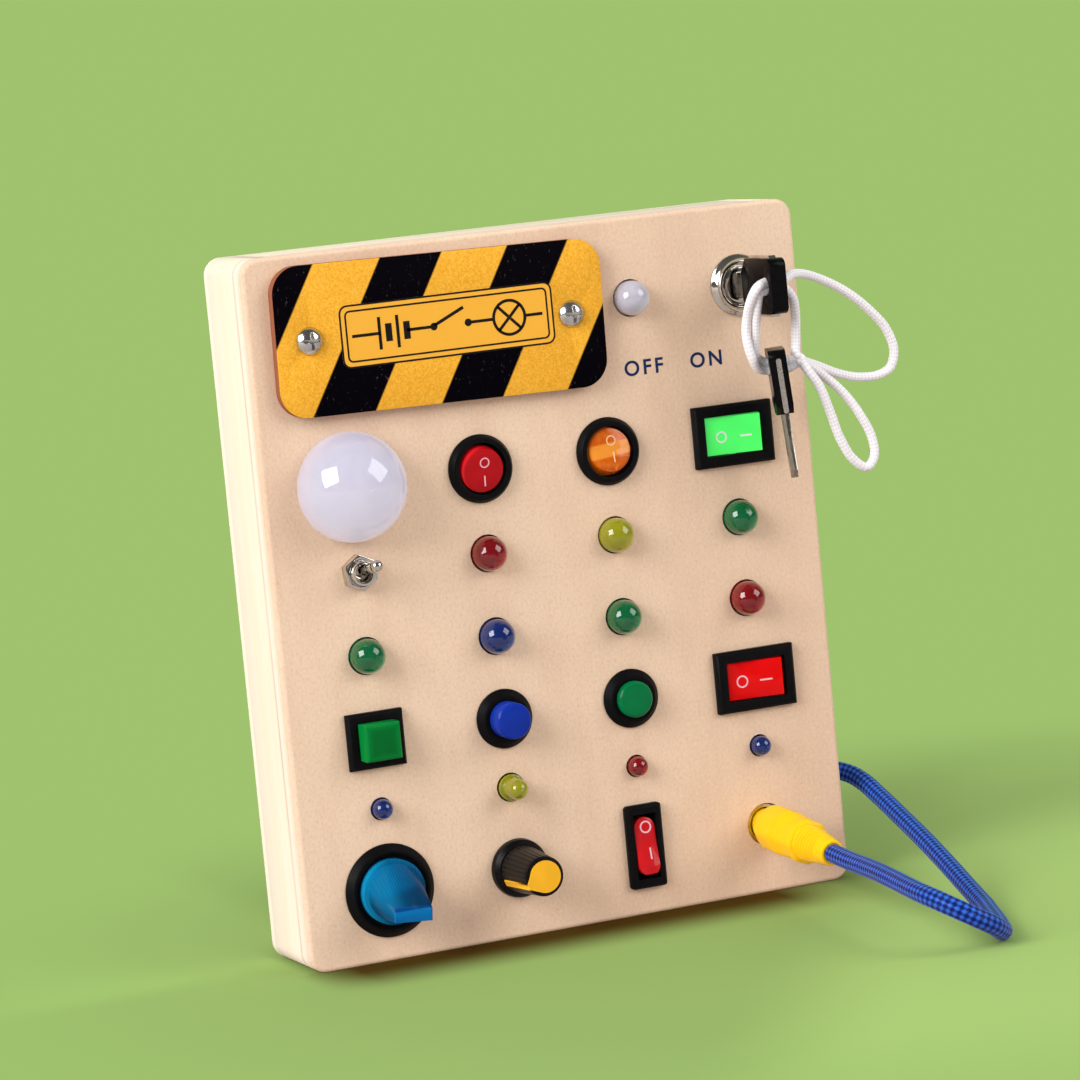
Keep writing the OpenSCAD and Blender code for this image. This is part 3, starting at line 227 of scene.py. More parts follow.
def wood_finish(name, base, tint, dark, grain, speck=0.5, seed=0.0, veins=0.45):
    """Fine-grained pale wood. grain is the scale per metre along x, y and z."""
    f = Finish(name, rough=0.8, spec=0.03)
    where = f.place(grain)
    if seed:
        where = f.node("ShaderNodeVectorMath", {0: where, 1: (seed, seed * 0.7, seed * 1.3)},
                       operation="ADD").outputs["Vector"]
    streak = f.noise(where, 1.0, 4.0, 0.55, 0.25)
    broad = f.noise(where, 0.22, 2.0, 0.5, 0.4)
    fine = f.noise(f.place(tuple(g * 9 for g in grain)), 1.0, 3.0, 0.7)
    grit = f.noise(f.place((1500, 1500, 1100)), 1.0, 2.0, 0.6)
    col = f.mix(f.range(broad, 0.35, 0.68), base, tint)
    col = f.mix(f.mul(f.range(streak, 0.46, 0.74), veins), col, dark)
    col = f.mix(f.mul(f.range(fine, 0.5, 0.78), 0.22 * veins / 0.45), col, dark)
    col = f.mix(f.mul(f.range(grit, 0.5, 0.8), speck), col, dark)
    col = f.mix(f.mul(f.range(grit, 0.46, 0.2), speck * 0.6), col, rgb(255, 226, 204))
    f.bump(f.add(f.mul(fine, 0.7), f.mul(grit, 0.5)), 0.12, 0.00012)
    return f, col


def front_wood():
    """The front panel: warm fine grain, a few pores, and its plies at the edge."""
    f, col = wood_finish("front_wood", rgb(233, 204, 176), rgb(226, 195, 167), rgb(203, 165, 138),
                         (95, 95, 30), speck=0.5, veins=0.26)
    pores = f.node("ShaderNodeTexVoronoi", {"Vector": f.place((75, 75, 60)), "Scale": 1.0},
                   feature="F1").outputs["Distance"]
    col = f.mix(f.mul(f.range(pores, 0.03, 0.012), 0.25), col, rgb(168, 122, 92))
    x, y, z = f.xyz(f.place())
    ply = f.ramp(f.range(y, -0.014, -0.011),
                 (0.0, (0, 0, 0)), (0.40, (0, 0, 0)), (0.45, (0.7, 0.7, 0.7)), (0.52, (0.1, 0.1, 0.1)),
                 (0.86, (0.05, 0.05, 0.05)), (0.93, (0.2, 0.2, 0.2)), (1.0, (0.1, 0.1, 0.1)))
    wave = f.range(f.broad(60), 0.3, 0.7, 0.35, 1.0)
    col = f.mix(f.mul(ply, f.mul(wave, 0.6)), col, rgb(214, 158, 132))
    pale = f.range(y, -0.0128, -0.0121, 0.0, 0.7, smooth=True)
    pale = f.mul(pale, f.range(y, -0.0109, -0.0113))
    col = f.mix(f.mul(pale, 0.6), col, rgb(252, 232, 208))
    return f.color(col).mat


def rail_wood(name, grain):
    """The cream frame: a warm streak down its middle, and a dark line against the front panel."""
    f, col = wood_finish(name, rgb(238, 228, 207), rgb(234, 221, 198), rgb(224, 201, 164), grain,
                         speck=0.10, seed=3.1)
    x, y, z = f.xyz(f.place())
    streak = f.range(f.math("ABSOLUTE", f.sub(y, 0.0017)), 0.0038, 0.001, 0.0, 0.55, smooth=True)
    col = f.mix(streak, col, rgb(238, 220, 190))
    col = f.mix(f.range(y, -0.0074, -0.0086, 0.0, 0.9, smooth=True), col, rgb(231, 217, 198))
    line = f.range(f.math("ABSOLUTE", f.sub(y, -0.008)), 0.0008, 0.0001, 0.0, 0.85, smooth=True)
    wave = f.range(f.broad(45), 0.3, 0.7, 0.55, 1.0)
    col = f.mix(f.mul(line, wave), col, rgb(208, 172, 152))
    return f.color(col).mat


def back_wood():
    """The plywood back, as pale as the frame on its edges."""
    f, col = wood_finish("back_wood", rgb(238, 208, 176), rgb(228, 194, 160), rgb(204, 164, 128),
                         (70, 70, 7), speck=0.35, seed=8.3)
    x, y, z = f.xyz(f.place())
    return f.color(f.mix(f.range(y, 0.0139, 0.0134, 0.0, 0.85), col, rgb(238, 228, 207))).mat


def black_plastic(name="black_plastic", rough=0.42, base=rgb(12, 11, 12), grain=900):
    """Black plastic with a fine moulded grain."""
    f = Finish(name, rough=rough, spec=0.06)
    n = f.fleck(grain)
    big = f.broad(70)
    col = f.mix(f.range(n, 0.4, 0.75), base, tuple(c * 1.5 for c in base[:3]) + (1,))
    f.link(f.range(big, 0.3, 0.7, rough - 0.08, rough + 0.1), "Roughness")
    f.bump(n, 0.25, 0.00006)
    return f.color(col).mat


def moulded(name, base, rough=0.3, coat=0.125, sss=0.0, dark=0.82, grain=500, radius=(1, 0.4, 0.3),
            glow=0.0, glow_color=(0, 0, 0, 1), side=None):
    """Coloured moulded plastic, slightly uneven. side is (node, paler colour): a painted highlight on a
    round rocker's wall, on its upper left towards the light.
    """
    f = Finish(name, rough=rough, spec=0.05, coat=coat, coat_rough=0.05, sss=sss, sss_radius=radius,
               sss_scale=0.002, glow=glow, glow_color=glow_color)
    n = f.fleck(grain)
    big = f.broad(120)
    deep = tuple(c * dark for c in base[:3]) + (1,)
    col = f.mix(f.range(big, 0.3, 0.7), deep, base)
    col = f.mix(f.mul(f.range(n, 0.5, 0.8), 0.25), col, deep)
    if side:
        x, y, z = f.xyz(f.place())
        # The pressed face is seen a little right of and below the rocker's middle; the wall outside it,
        # mostly at the upper left, is painted paler as painted light.
        box = [Vector(v) for v in nodes[side[0]].bound_box]
        across = f.sub(x, (box[0].x + box[6].x) / 2 + 0.0013)
        rise = f.sub(z, (box[0].z + box[6].z) / 2 - 0.0008)
        out = f.hypot(across, rise)
        col = f.mix(f.range(out, 0.0059, 0.0066, 0.0, 0.9, smooth=True), col, side[1])
    f.bump(n, 0.06, 0.00005)
    return f.color(col).mat


def metal(name, base=rgb(205, 202, 198), rough=0.16, scale=(700, 700, 700), deep=0.62):
    """Polished metal; deep is how far its colour drops in the worn specks."""
    f = Finish(name, metal=1.0, rough=rough)
    n = f.noise(f.place(scale), 1.0, 4.0, 0.65)
    big = f.broad(220)
    col = f.mix(f.range(n, 0.45, 0.8), base, tuple(c * deep for c in base[:3]) + (1,))
    f.link(f.range(big, 0.3, 0.75, rough * 0.7, rough * 1.7), "Roughness")
    f.bump(n, 0.08, 0.00004)
    return f.color(col).mat


def lamp_finish(name, deep, bright):
    """Tinted clear plastic: deep where the light enters, painted brighter towards its rim as painted light.
    """
    f = Finish(name, rough=0.08, spec=0.1, ior=1.5, coat=1.0, coat_rough=0.03, coat_ior=1.6,
               sss=0.2, sss_radius=(1, 1, 1), sss_scale=0.0015)
    # Painted light: the side turned to the lower right is painted brighter, where the light that enters at
    # the upper left would gather inside the edge.
    painted_rim_light = f.facing((0.66, -0.2, -0.72))
    n = f.fleck(320)
    col = f.mix(f.range(painted_rim_light, 0.25, 0.95, 0.0, 0.75, smooth=True), deep, bright)
    col = f.mix(f.mul(f.range(n, 0.45, 0.8), 0.18), col, bright)
    return f.color(col).mat


def dial_finish():
    """Black knob with fine flutes round its cone."""
    f = Finish("dial_black", rough=0.34, spec=0.12)
    x, y, z = f.xyz(f.place())
    turn = f.math("ARCTAN2", f.sub(z, KNOB_ROW * MM), f.sub(x, COL[1] * MM))
    flutes = f.math("SINE", f.mul(turn, 30.0))
    cone = f.mul(f.range(y, -0.0172, -0.0178), f.range(y, -0.0304, -0.0300))
    ribs = f.mul(f.range(flutes, -0.3, 0.8), cone)
    grain = f.fleck(700)
    col = f.mix(f.mul(ribs, 0.8), rgb(10, 9, 10), rgb(34, 29, 26))
    col = f.mix(f.mul(f.range(grain, 0.5, 0.8), 0.3), col, rgb(40, 36, 34))
    f.bump(f.add(f.mul(flutes, cone), f.mul(grain, 0.1)), 0.6, 0.00012)
    return f.color(col).mat


def cap_finish():
    """The square green cap, painted brighter towards its edges as painted light passing through."""
    half, middle, rim = 0.0047, rgb(0, 98, 38), rgb(2, 122, 50)
    f = Finish("green_square_plastic", rough=0.34, spec=0.04, coat=0.08, coat_rough=0.12,
               sss=0.1, sss_scale=0.001)
    x, y, z = f.xyz(f.place())
    side = f.math("ABSOLUTE", f.sub(x, COL[0] * MM))
    rise = f.math("ABSOLUTE", f.sub(z, SQUARE_ROW * MM))
    # Painted light: the cap's colour brightens towards its edges.
    edge = f.range(f.math("MAXIMUM", side, rise), half * 0.5, half, smooth=True)
    haze = f.fleck(260)
    col = f.mix(edge, middle, rim)
    col = f.mix(f.mul(f.range(haze, 0.45, 0.75), 0.2), col, rim)
    return f.color(col).mat


def selector_finish():
    """Clear blue plastic: ribbed and bright on the upper slope, deeper below, pale along the ridge, with
    painted light on the faces turned to the upper left and painted shade on those turned to the right.
    """
    f = Finish("selector_blue", rough=0.3, spec=0.02, coat=0.05, coat_rough=0.08,
               sss=0.15, sss_radius=(1, 1, 1), sss_scale=0.0015)
    x, y, z = f.xyz(f.place())
    across = f.sub(x, COL[0] * MM)
    rise = f.sub(z, KNOB_ROW * MM)
    upper = f.range(f.add(rise, f.mul(across, -0.16)), 0.0004, 0.0026, smooth=True)
    ribs = f.math("SINE", f.mul(across, math.tau / 0.00072))
    lines = f.math("SINE", f.mul(f.add(across, f.mul(rise, 0.8)), math.tau / 0.00055))
    haze = f.fleck(520)
    col = f.mix(upper, rgb(10, 62, 96), rgb(6, 92, 136))
    col = f.mix(f.mul(f.mul(f.range(ribs, -0.2, 0.9), upper), 0.6), col, rgb(4, 52, 94))
    col = f.mix(f.mul(f.range(lines, 0.1, 0.9), 0.3), col, rgb(6, 44, 78))
    col = f.mix(f.mul(f.range(haze, 0.45, 0.75), 0.3), col, rgb(8, 70, 112))
    # Painted light: faces turned to the upper left are painted paler.
    painted_light = f.range(f.facing((-0.8, -0.1, 0.6)), 0.5, 0.98, 0.0, 0.5, smooth=True)
    col = f.mix(painted_light, col, rgb(12, 120, 166))
    # Painted shade: faces turned to the right are painted darker.
    painted_shade = f.range(f.facing((0.75, -0.1, 0.3)), 0.5, 0.95, 0.0, 0.6, smooth=True)
    col = f.mix(painted_shade, col, rgb(4, 60, 108))
    wedge = f.mul(f.range(rise, 0.0030, 0.0010, smooth=True), f.range(rise, -0.0030, -0.0020))
    wedge = f.mul(wedge, f.range(across, -0.0045, -0.0010, 0.0, 0.3, smooth=True))
    col = f.mix(wedge, col, rgb(3, 48, 80))
    # Painted light: the foot is painted paler, most on its left towards the light.
    foot = f.range(y, -0.0180, -0.0176)
    col = f.mix(f.mul(foot, f.range(across, -0.001, -0.006, 0.1, 0.8)), col, rgb(16, 138, 184))
    top = f.range(y, -0.0293, -0.0296)
    col = f.mix(top, col, rgb(12, 108, 168))
    rim = f.math("MAXIMUM", f.range(across, 0.0040, 0.0047), f.range(rise, -0.0028, -0.0024))
    col = f.mix(f.mul(f.mul(top, rim), 0.8), col, rgb(6, 40, 104))
    return f.color(col).mat


def amber_finish():
    """Clear amber plastic with a painted band of light across the middle of the rocker, where the light
    gathers.
    """
    f = Finish("amber_plastic", rough=0.16, spec=0.1, coat=0.5, coat_rough=0.04,
               sss=0.2, sss_radius=(1, 0.6, 0.2), sss_scale=0.0015, glow=0.1, glow_color=rgb(255, 120, 10))
    x, y, z = f.xyz(f.place())
    across = f.sub(x, COL[2] * MM)
    level = f.sub(f.sub(z, ROUND_ROCKER_ROW * MM), f.mul(across, 0.1))
    off = f.math("ABSOLUTE", level)
    haze = f.fleck(420)
    col = f.mix(f.range(level, 0.001, 0.006), rgb(188, 82, 6), rgb(178, 72, 14))
    # Painted light: a paler band across the middle.
    col = f.mix(f.range(off, 0.0020, 0.0015), col, rgb(218, 138, 48))
    col = f.mix(f.mul(f.range(haze, 0.45, 0.75), 0.35), col, rgb(232, 150, 60))
    rim = f.range(f.hypot(across, level), 0.0050, 0.0059)
    col = f.mix(f.mul(rim, 0.75), col, rgb(126, 42, 6))
    low = f.range(level, -0.0036, -0.0046)
    col = f.mix(f.mul(low, 0.7), col, rgb(150, 56, 6))
    spark = f.broad(900)
    col = f.mix(f.mul(low, f.range(spark, 0.55, 0.7)), col, rgb(236, 120, 20))
    return f.color(col).mat


def frosted_finish():
    """A milky dome whose painted glow (emission) stands in for the light it passes on, so it's nearly even
    all over.
    """
    f = Finish("frosted_dome", rough=0.45, spec=0.1, coat=1.0, coat_rough=0.02, coat_ior=1.6,
               sss=0.3, sss_radius=(1, 1, 1), sss_scale=0.006, glow=0.62)
    x, y, z = f.xyz(f.place())
    side = f.sub(x, COL[0] * MM)
    rise = f.sub(z, DOME_ROW * MM)
    out = f.hypot(side, rise)
    haze = f.fleck(160)
    # Painted light: the emitted glow, pinker low down and round the rim.
    glow = f.mix(f.range(z, 0.108, 0.130), rgb(222, 214, 224), rgb(206, 203, 223))
    glow = f.mix(f.range(out, 0.0118, 0.0137, 0.0, 0.55, smooth=True), glow, rgb(224, 206, 216))
    glow = f.mix(f.mul(f.range(haze, 0.4, 0.7), 0.25), glow, rgb(226, 222, 234))
    f.link(glow, "Emission Color")
    f.color(f.mix(f.range(haze, 0.3, 0.7), rgb(128, 126, 138), rgb(134, 130, 142)))
    return f.mat


def stripe_finish():
    """Yellow and black slanted stripes with a worn print, on a plate with brown cut edges."""
    f = Finish("stripe_plate", rough=0.5, spec=0.015)
    x, y, z = f.xyz(f.place())
    pitch, first = 0.0344, -0.0508
    slant = f.sub(x, f.mul(f.sub(z, PLATE_ROW * MM), 0.578))
    # Ten stripes more keep the sum above zero all over the plate.
    turn = f.math("FRACT", f.math("DIVIDE", f.add(slant, 10 * pitch - first), pitch))
    black = f.mul(f.range(turn, 0.0, 0.012), f.range(turn, 0.497, 0.485))
    grain = f.fleck(2200, 2.0, 0.6)
    flow = f.noise(f.place((900, 900, 420), rotation=(0, 0.6, 0)), 1.0, 2.0, 0.6)
    yellow = f.mix(f.range(grain, 0.35, 0.7), rgb(226, 158, 40), rgb(246, 184, 66))
    yellow = f.mix(f.mul(f.range(flow, 0.55, 0.8), 0.35), yellow, rgb(250, 198, 96))
    worn = f.noise(f.place((1500, 1500, 900), rotation=(0, 0.9, 0)), 1.0, 2.0, 0.75)
    patch = f.range(f.broad(90), 0.42, 0.7)
    worn = f.mul(f.range(worn, 0.66, 0.74), f.add(0.25, patch))
    dark = f.mix(f.mul(worn, 0.5), rgb(6, 4, 9), rgb(150, 140, 130))
    face = f.mix(black, yellow, dark)
    edge = f.range(y, -0.01690, -0.01660)
    col = f.mix(edge, face, rgb(150, 92, 66))
    f.bump(f.add(grain, f.mul(worn, -0.6)), 0.3, 0.00005)
    return f.color(col).mat


def print_finish(name, base, pale):
    """Printed ink, thin in places."""
    f = Finish(name, rough=0.6, spec=0.1)
    n = f.fleck(1300, 3.0, 0.7)
    return f.color(f.mix(f.mul(f.range(n, 0.6, 0.75), 0.3), base, pale)).mat


def braid_finish(name, base, light, dark, strands, pitch, rough, weave, deep):
    """Braided cord. UV: u once round the cord, v along it in metres. weave and deep set its relief."""
    f = Finish(name, rough=rough, spec=0.2, sheen=0.05, sheen_rough=0.4)
    u, v, w = f.xyz(f.place(uv=True))
    along = f.mul(v, 1 / pitch)
    around = f.mul(u, float(strands))
    left = f.math("SINE", f.mul(f.add(along, around), math.tau))
    right = f.math("SINE", f.mul(f.sub(along, around), math.tau))
    cell = f.mul(left, right)
    fibre = f.noise(f.place((strands * 14, 2400, 1), uv=True), 1.0, 3.0, 0.6)
    # The crowns of the strands are painted paler and the gaps between them darker: partly the weave's own
    # colour, partly painted highlight and painted shade.
    col = f.mix(f.range(cell, -0.2, 0.75), base, light)
    col = f.mix(f.range(cell, -0.25, -0.9, 0.0, 0.8), col, dark)
    col = f.mix(f.mul(f.range(fibre, 0.55, 0.8), 0.4), col, light)
    f.bump(f.add(f.mul(cell, weave), f.mul(fibre, 0.3)), deep, 0.00016)
    return f.color(col).mat


mats = {
    "front": front_wood(),
    "rail_z": rail_wood("rail_wood_upright", (60, 60, 7)),
    "rail_x": rail_wood("rail_wood_level", (7, 60, 60)),
    "back": back_wood(),
    "black": black_plastic(),
    "black_gloss": black_plastic("black_gloss", rough=0.22, base=rgb(10, 9, 10), grain=500),
    "rubber": black_plastic("rubber_black", rough=0.62, base=rgb(26, 26, 27)),
    "steel": metal("steel"),
    "screw": metal("screw_steel", rgb(214, 211, 208), 0.2),
    "chrome": metal("chrome", rgb(216, 210, 203), 0.1, (300, 300, 300)),
    "blade": metal("blade_steel", rgb(176, 168, 156), 0.24, (1500, 1500, 500)),
    "cell": metal("cell_can", rgb(196, 198, 202), 0.3),
    "brass": metal("brass", rgb(214, 178, 98), 0.22),
    "stripe": stripe_finish(),
    "white": moulded("white_plastic", rgb(222, 220, 214), 0.4),
    "dome": frosted_finish(),
    "red": moulded("red_plastic", rgb(184, 12, 22), 0.24, 0.25, 0.12,
                   side=("red_round_rocker", rgb(222, 26, 36))),
    "red_mini": moulded("red_mini_plastic", rgb(206, 28, 34), 0.2, 0.3, 0.12),
    "red_lit": moulded("red_lit_plastic", rgb(208, 8, 10), 0.2, 0.2, 0.2,
                       glow=0.12, glow_color=rgb(255, 20, 14)),
    "amber": amber_finish(),
    "green_lit": moulded("green_lit_plastic", rgb(66, 222, 86), 0.22, 0.25, 0.2,
                         glow=0.42, glow_color=rgb(90, 255, 120)),
    "green": moulded("green_plastic", rgb(2, 114, 62), 0.3, 0.15, 0.1),
    "green_square": cap_finish(),
    "blue": moulded("blue_plastic", rgb(18, 50, 158), 0.3, 0.15, 0.1),
    "lamp_white": lamp_finish("lamp_white", rgb(178, 176, 188), rgb(226, 222, 226)),
    "lamp_red": lamp_finish("lamp_red", rgb(112, 4, 12), rgb(190, 30, 34)),
    "lamp_yellow": lamp_finish("lamp_yellow", rgb(136, 134, 16), rgb(196, 188, 62)),
    "lamp_green": lamp_finish("lamp_green", rgb(2, 88, 46), rgb(36, 150, 92)),
    "lamp_blue": lamp_finish("lamp_blue", rgb(10, 32, 92), rgb(44, 84, 156)),
    "selector": selector_finish(),
    "yellow": moulded("yellow_plastic", rgb(248, 182, 40), 0.34, 0.1),
    "plug": moulded("plug_yellow", rgb(255, 200, 22), 0.32, 0.15, 0.15, 0.94, 700, (1, 0.6, 0.1)),
    "dial": dial_finish(),
    "worn": metal("worn_steel", rgb(226, 220, 214), 0.22, (2600, 2600, 2600), deep=0.06),
    "wire": moulded("wire_red", rgb(190, 24, 24), 0.4),
    "ink_navy": print_finish("ink_navy", rgb(28, 44, 84), rgb(90, 96, 120)),
    "ink_black": print_finish("ink_black", rgb(24, 20, 20), rgb(110, 96, 84)),
    "ink_yellow": print_finish("ink_yellow", rgb(238, 174, 58), rgb(250, 198, 96)),
    "ink_white": print_finish("ink_white", rgb(236, 232, 232), rgb(214, 208, 208)),
    "ink_pink": print_finish("ink_pink", rgb(232, 182, 190), rgb(218, 150, 160)),
    "ink_peach": print_finish("ink_peach", rgb(236, 192, 156), rgb(222, 166, 120)),
    "lead": braid_finish("lead_braid", rgb(6, 34, 122), rgb(44, 104, 206), rgb(2, 8, 46),
                         LEAD_STRANDS, LEAD_PITCH, 0.34, 0.5, 0.8),
    "cord": braid_finish("cord_braid", rgb(238, 232, 234), rgb(250, 247, 248), rgb(222, 213, 218),
                         CORD_STRANDS, CORD_PITCH, 0.7, 0.25, 0.1),
}


# ---- Mesh helpers ----

def panel(x, z, p=(0, 0, 0)):
    """A point of the panel's own frame at (x, z) in mm: right, up and out of its front face."""
    return Vector(((x + p[0]) * MM, FRONT - p[2] * MM, (z + p[1]) * MM))


def piece(name, verts, faces, mat, body, angle=35.0, slot=None, uv=None):
    """An object of the scene that rides on a body. Edges under angle degrees are smooth; 0 is flat."""
    me = bpy.data.meshes.new(name)
    me.from_pydata([tuple(v) for v in verts], [], faces)
    me.validate()
    me.update()
    me.materials.append(mats[mat])
    if angle:
        me.shade_smooth()
        me.set_sharp_from_angle(angle=math.radians(angle))
    ob = bpy.data.objects.new(name, me)
    scene.collection.objects.link(ob)
    if uv:
        layer = me.uv_layers.new(name="UVMap")
        for poly in me.polygons:
            for li in poly.loop_indices:
                layer.data[li].uv = uv[poly.index][li - poly.loop_start]
    if body:
        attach(ob, body)
    return ob


def lathe(profile, sides):
    """Verts and faces of a profile of (radius, height) turned round the z axis."""
    verts, faces = [], []
    for r, h in profile:
        for k in range(sides):
            a = math.tau * k / sides
            verts.append(Vector((r * math.cos(a), r * math.sin(a), h)))
    for i in range(len(profile) - 1):
        for k in range(sides):
            j = (k + 1) % sides
            faces.append((i * sides + k, i * sides + j, (i + 1) * sides + j, (i + 1) * sides + k))
    return verts, faces


def prism(outline, low, high, place, holes=()):
    """A flat shape of any outline, with holes, from low to high."""
    loops = [list(outline), *[list(h) for h in holes]]
    flat = [p for loop in loops for p in loop]
    tris = tessellate_polygon([[Vector((p[0], p[1], 0)) for p in loop] for loop in loops])
    n = len(flat)
    verts = [place((p[0], p[1], low)) for p in flat] + [place((p[0], p[1], high)) for p in flat]
    faces = []
    for t in tris:
        a, b, c = (Vector((*flat[i][:2], 0)) for i in t)
        t = t if (b - a).cross(c - a).z > 0 else t[::-1]
        faces.append(tuple(i + n for i in t))
        faces.append(tuple(t[::-1]))
    start = 0
    for loop in loops:
        m = len(loop)
        area = sum(loop[i][0] * loop[(i + 1) % m][1] - loop[(i + 1) % m][0] * loop[i][1] for i in range(m))
        outer = (area > 0) == (loop is loops[0])
        for i in range(m):
            j = (i + 1) % m
            q = (start + i, start + j, start + j + n, start + i + n)
            faces.append(q if outer else q[::-1])
        start += m
    return verts, faces


def merge(*parts):
    """Several (verts, faces) as one."""
    verts, faces = [], []
    for v, f in parts:
        k = len(verts)
        verts += list(v)
        faces += [tuple(i + k for i in q) for q in f]
    return verts, faces


def circle(r, n=40, cx=0.0, cy=0.0, start=0.0, sweep=360.0):
    """Points of a circle, or of an arc with both its ends."""
    whole = abs(sweep) >= 360
    return [(cx + r * math.cos(math.radians(start + sweep * i / (n if whole else n - 1))),
             cy + r * math.sin(math.radians(start + sweep * i / (n if whole else n - 1))))
            for i in range(n)]


def rounded(w, h, r, n=6, cx=0.0, cy=0.0):
    """The outline of a rectangle with round corners."""
    out = []
    for sx, sy, a in ((1, 1, 0), (-1, 1, 90), (-1, -1, 180), (1, -1, 270)):
        out += circle(r, n, cx + sx * (w / 2 - r), cy + sy * (h / 2 - r), a, 90)
    return out


def bar(a, b, width):
    """The outline of a straight line of even width from a to b."""
    along = Vector((b[0] - a[0], b[1] - a[1])).normalized() * (width / 2)
    return [(a[0] - along.y, a[1] + along.x), (b[0] - along.y, b[1] + along.x),
            (b[0] + along.y, b[1] - along.x), (a[0] + along.y, a[1] - along.x)]


def smooth_path(points, step):
    """Evenly spaced points on a centripetal Catmull-Rom curve through the given ones."""
    p = [Vector(q) for q in points]
    p = [p[0] * 2 - p[1], *p, p[-1] * 2 - p[-2]]
    fine = []
    for i in range(1, len(p) - 2):
        a, b, c, d = p[i - 1:i + 3]
        t0 = 0.0
        t1 = t0 + max((b - a).length, 1e-9) ** 0.5
        t2 = t1 + max((c - b).length, 1e-9) ** 0.5
        t3 = t2 + max((d - c).length, 1e-9) ** 0.5
        n = max(2, int((c - b).length / step * 3))
        for k in range(n):
            t = t1 + (t2 - t1) * k / n
            a1 = a * ((t1 - t) / (t1 - t0)) + b * ((t - t0) / (t1 - t0))
            a2 = b * ((t2 - t) / (t2 - t1)) + c * ((t - t1) / (t2 - t1))
            a3 = c * ((t3 - t) / (t3 - t2)) + d * ((t - t2) / (t3 - t2))
            b1 = a1 * ((t2 - t) / (t2 - t0)) + a2 * ((t - t0) / (t2 - t0))
            b2 = a2 * ((t3 - t) / (t3 - t1)) + a3 * ((t - t1) / (t3 - t1))
            fine.append(b1 * ((t2 - t) / (t2 - t1)) + b2 * ((t - t1) / (t2 - t1)))
    fine.append(p[-2])
    out, need = [fine[0]], step
    for a, b in zip(fine, fine[1:]):
        d = (b - a).length
        while d >= need > 0:
            a = a + (b - a) * (need / d)
            out.append(a.copy())
            d = (b - a).length
            need = step
        need -= d
    if (out[-1] - fine[-1]).length > step * 0.3:
        out.append(fine[-1])
    else:
        out[-1] = fine[-1]
    return out


def tube(path, radius, sides, relief):
    """Verts, faces and UVs of a tube; relief(u, v) is added to the radius."""
    verts, faces, uv = [], [], []
    t = (path[1] - path[0]).normalized()
    side = t.cross(Vector((0, 0, 1)))
    side = side.normalized() if side.length > 0.1 else t.cross(Vector((1, 0, 0))).normalized()
    length = 0.0
    lengths = []
    for i, p in enumerate(path):
        t = (path[min(i + 1, len(path) - 1)] - path[max(i - 1, 0)]).normalized()
        side = (side - t * side.dot(t)).normalized()
        up = t.cross(side)
        if i:
            length += (p - path[i - 1]).length
        lengths.append(length)
        for k in range(sides):
            a = math.tau * k / sides
            r = radius + relief(k / sides, length)
            verts.append(p + (side * math.cos(a) + up * math.sin(a)) * r)
    for i in range(len(path) - 1):
        for k in range(sides):
            j = (k + 1) % sides
            faces.append((i * sides + k, i * sides + j, (i + 1) * sides + j, (i + 1) * sides + k))
            u0, u1, v0, v1 = k / sides, (k + 1) / sides, lengths[i], lengths[i + 1]
            uv.append(((u0, v0), (u1, v0), (u1, v1), (u0, v1)))
    for start, flip in ((0, True), ((len(path) - 1) * sides, False)):
        ring = tuple(range(start, start + sides))
        faces.append(ring[::-1] if flip else ring)
        uv.append(tuple((0.5, lengths[0 if flip else -1]) for _ in ring))
    return verts, faces, uv


def braid_relief(strands, pitch, depth):
    """A relief for tube(): strands that cross both ways, cut in from the full radius."""
    def relief(u, v):
        a = math.sin(math.tau * (v / pitch + u * strands))
        b = math.sin(math.tau * (v / pitch - u * strands))
        return depth * (a * b - 1) / 2
    return relief


# ---- Cords ----

LEAD_ROUTE = [
    (75, 0, 26.5), (77, 0, 26.5), (80.3, -1.1, 26), (83.1, -3.7, 24.8), (84.6, -7.8, 23),
    (85, -13.9, 20.6), (84.4, -21.8, 18.4), (83.6, -30, 16.2), (82.7, -38.3, 14.1),
    (81.7, -46.5, 12), (80.6, -54.8, 9.8), (79.4, -62.9, 7.7), (78.1, -71.2, 5.5),
    (76.7, -79.4, 3.6), (75, -86.2, 2.7), (72.3, -93.2, 2.6), (69.2, -101.4, 2.6),
    (66.5, -108.2, 2.6), (63.9, -113.7, 2.8), (61.4, -117, 4.2), (58.2, -119.5, 6.1),
    (54.5, -120.2, 8.2), (50.9, -118.9, 10.4), (48.2, -116.1, 12.2), (46.7, -111.9, 13.4),
    (46.6, -105.9, 13.9), (47.6, -98, 14.1), (49, -89, 14.2), (50.3, -79.3, 14.3),
    (51.6, -69.6, 14.2), (52.3, -61, 14.2), (52.5, -50.5, 14.9),
]
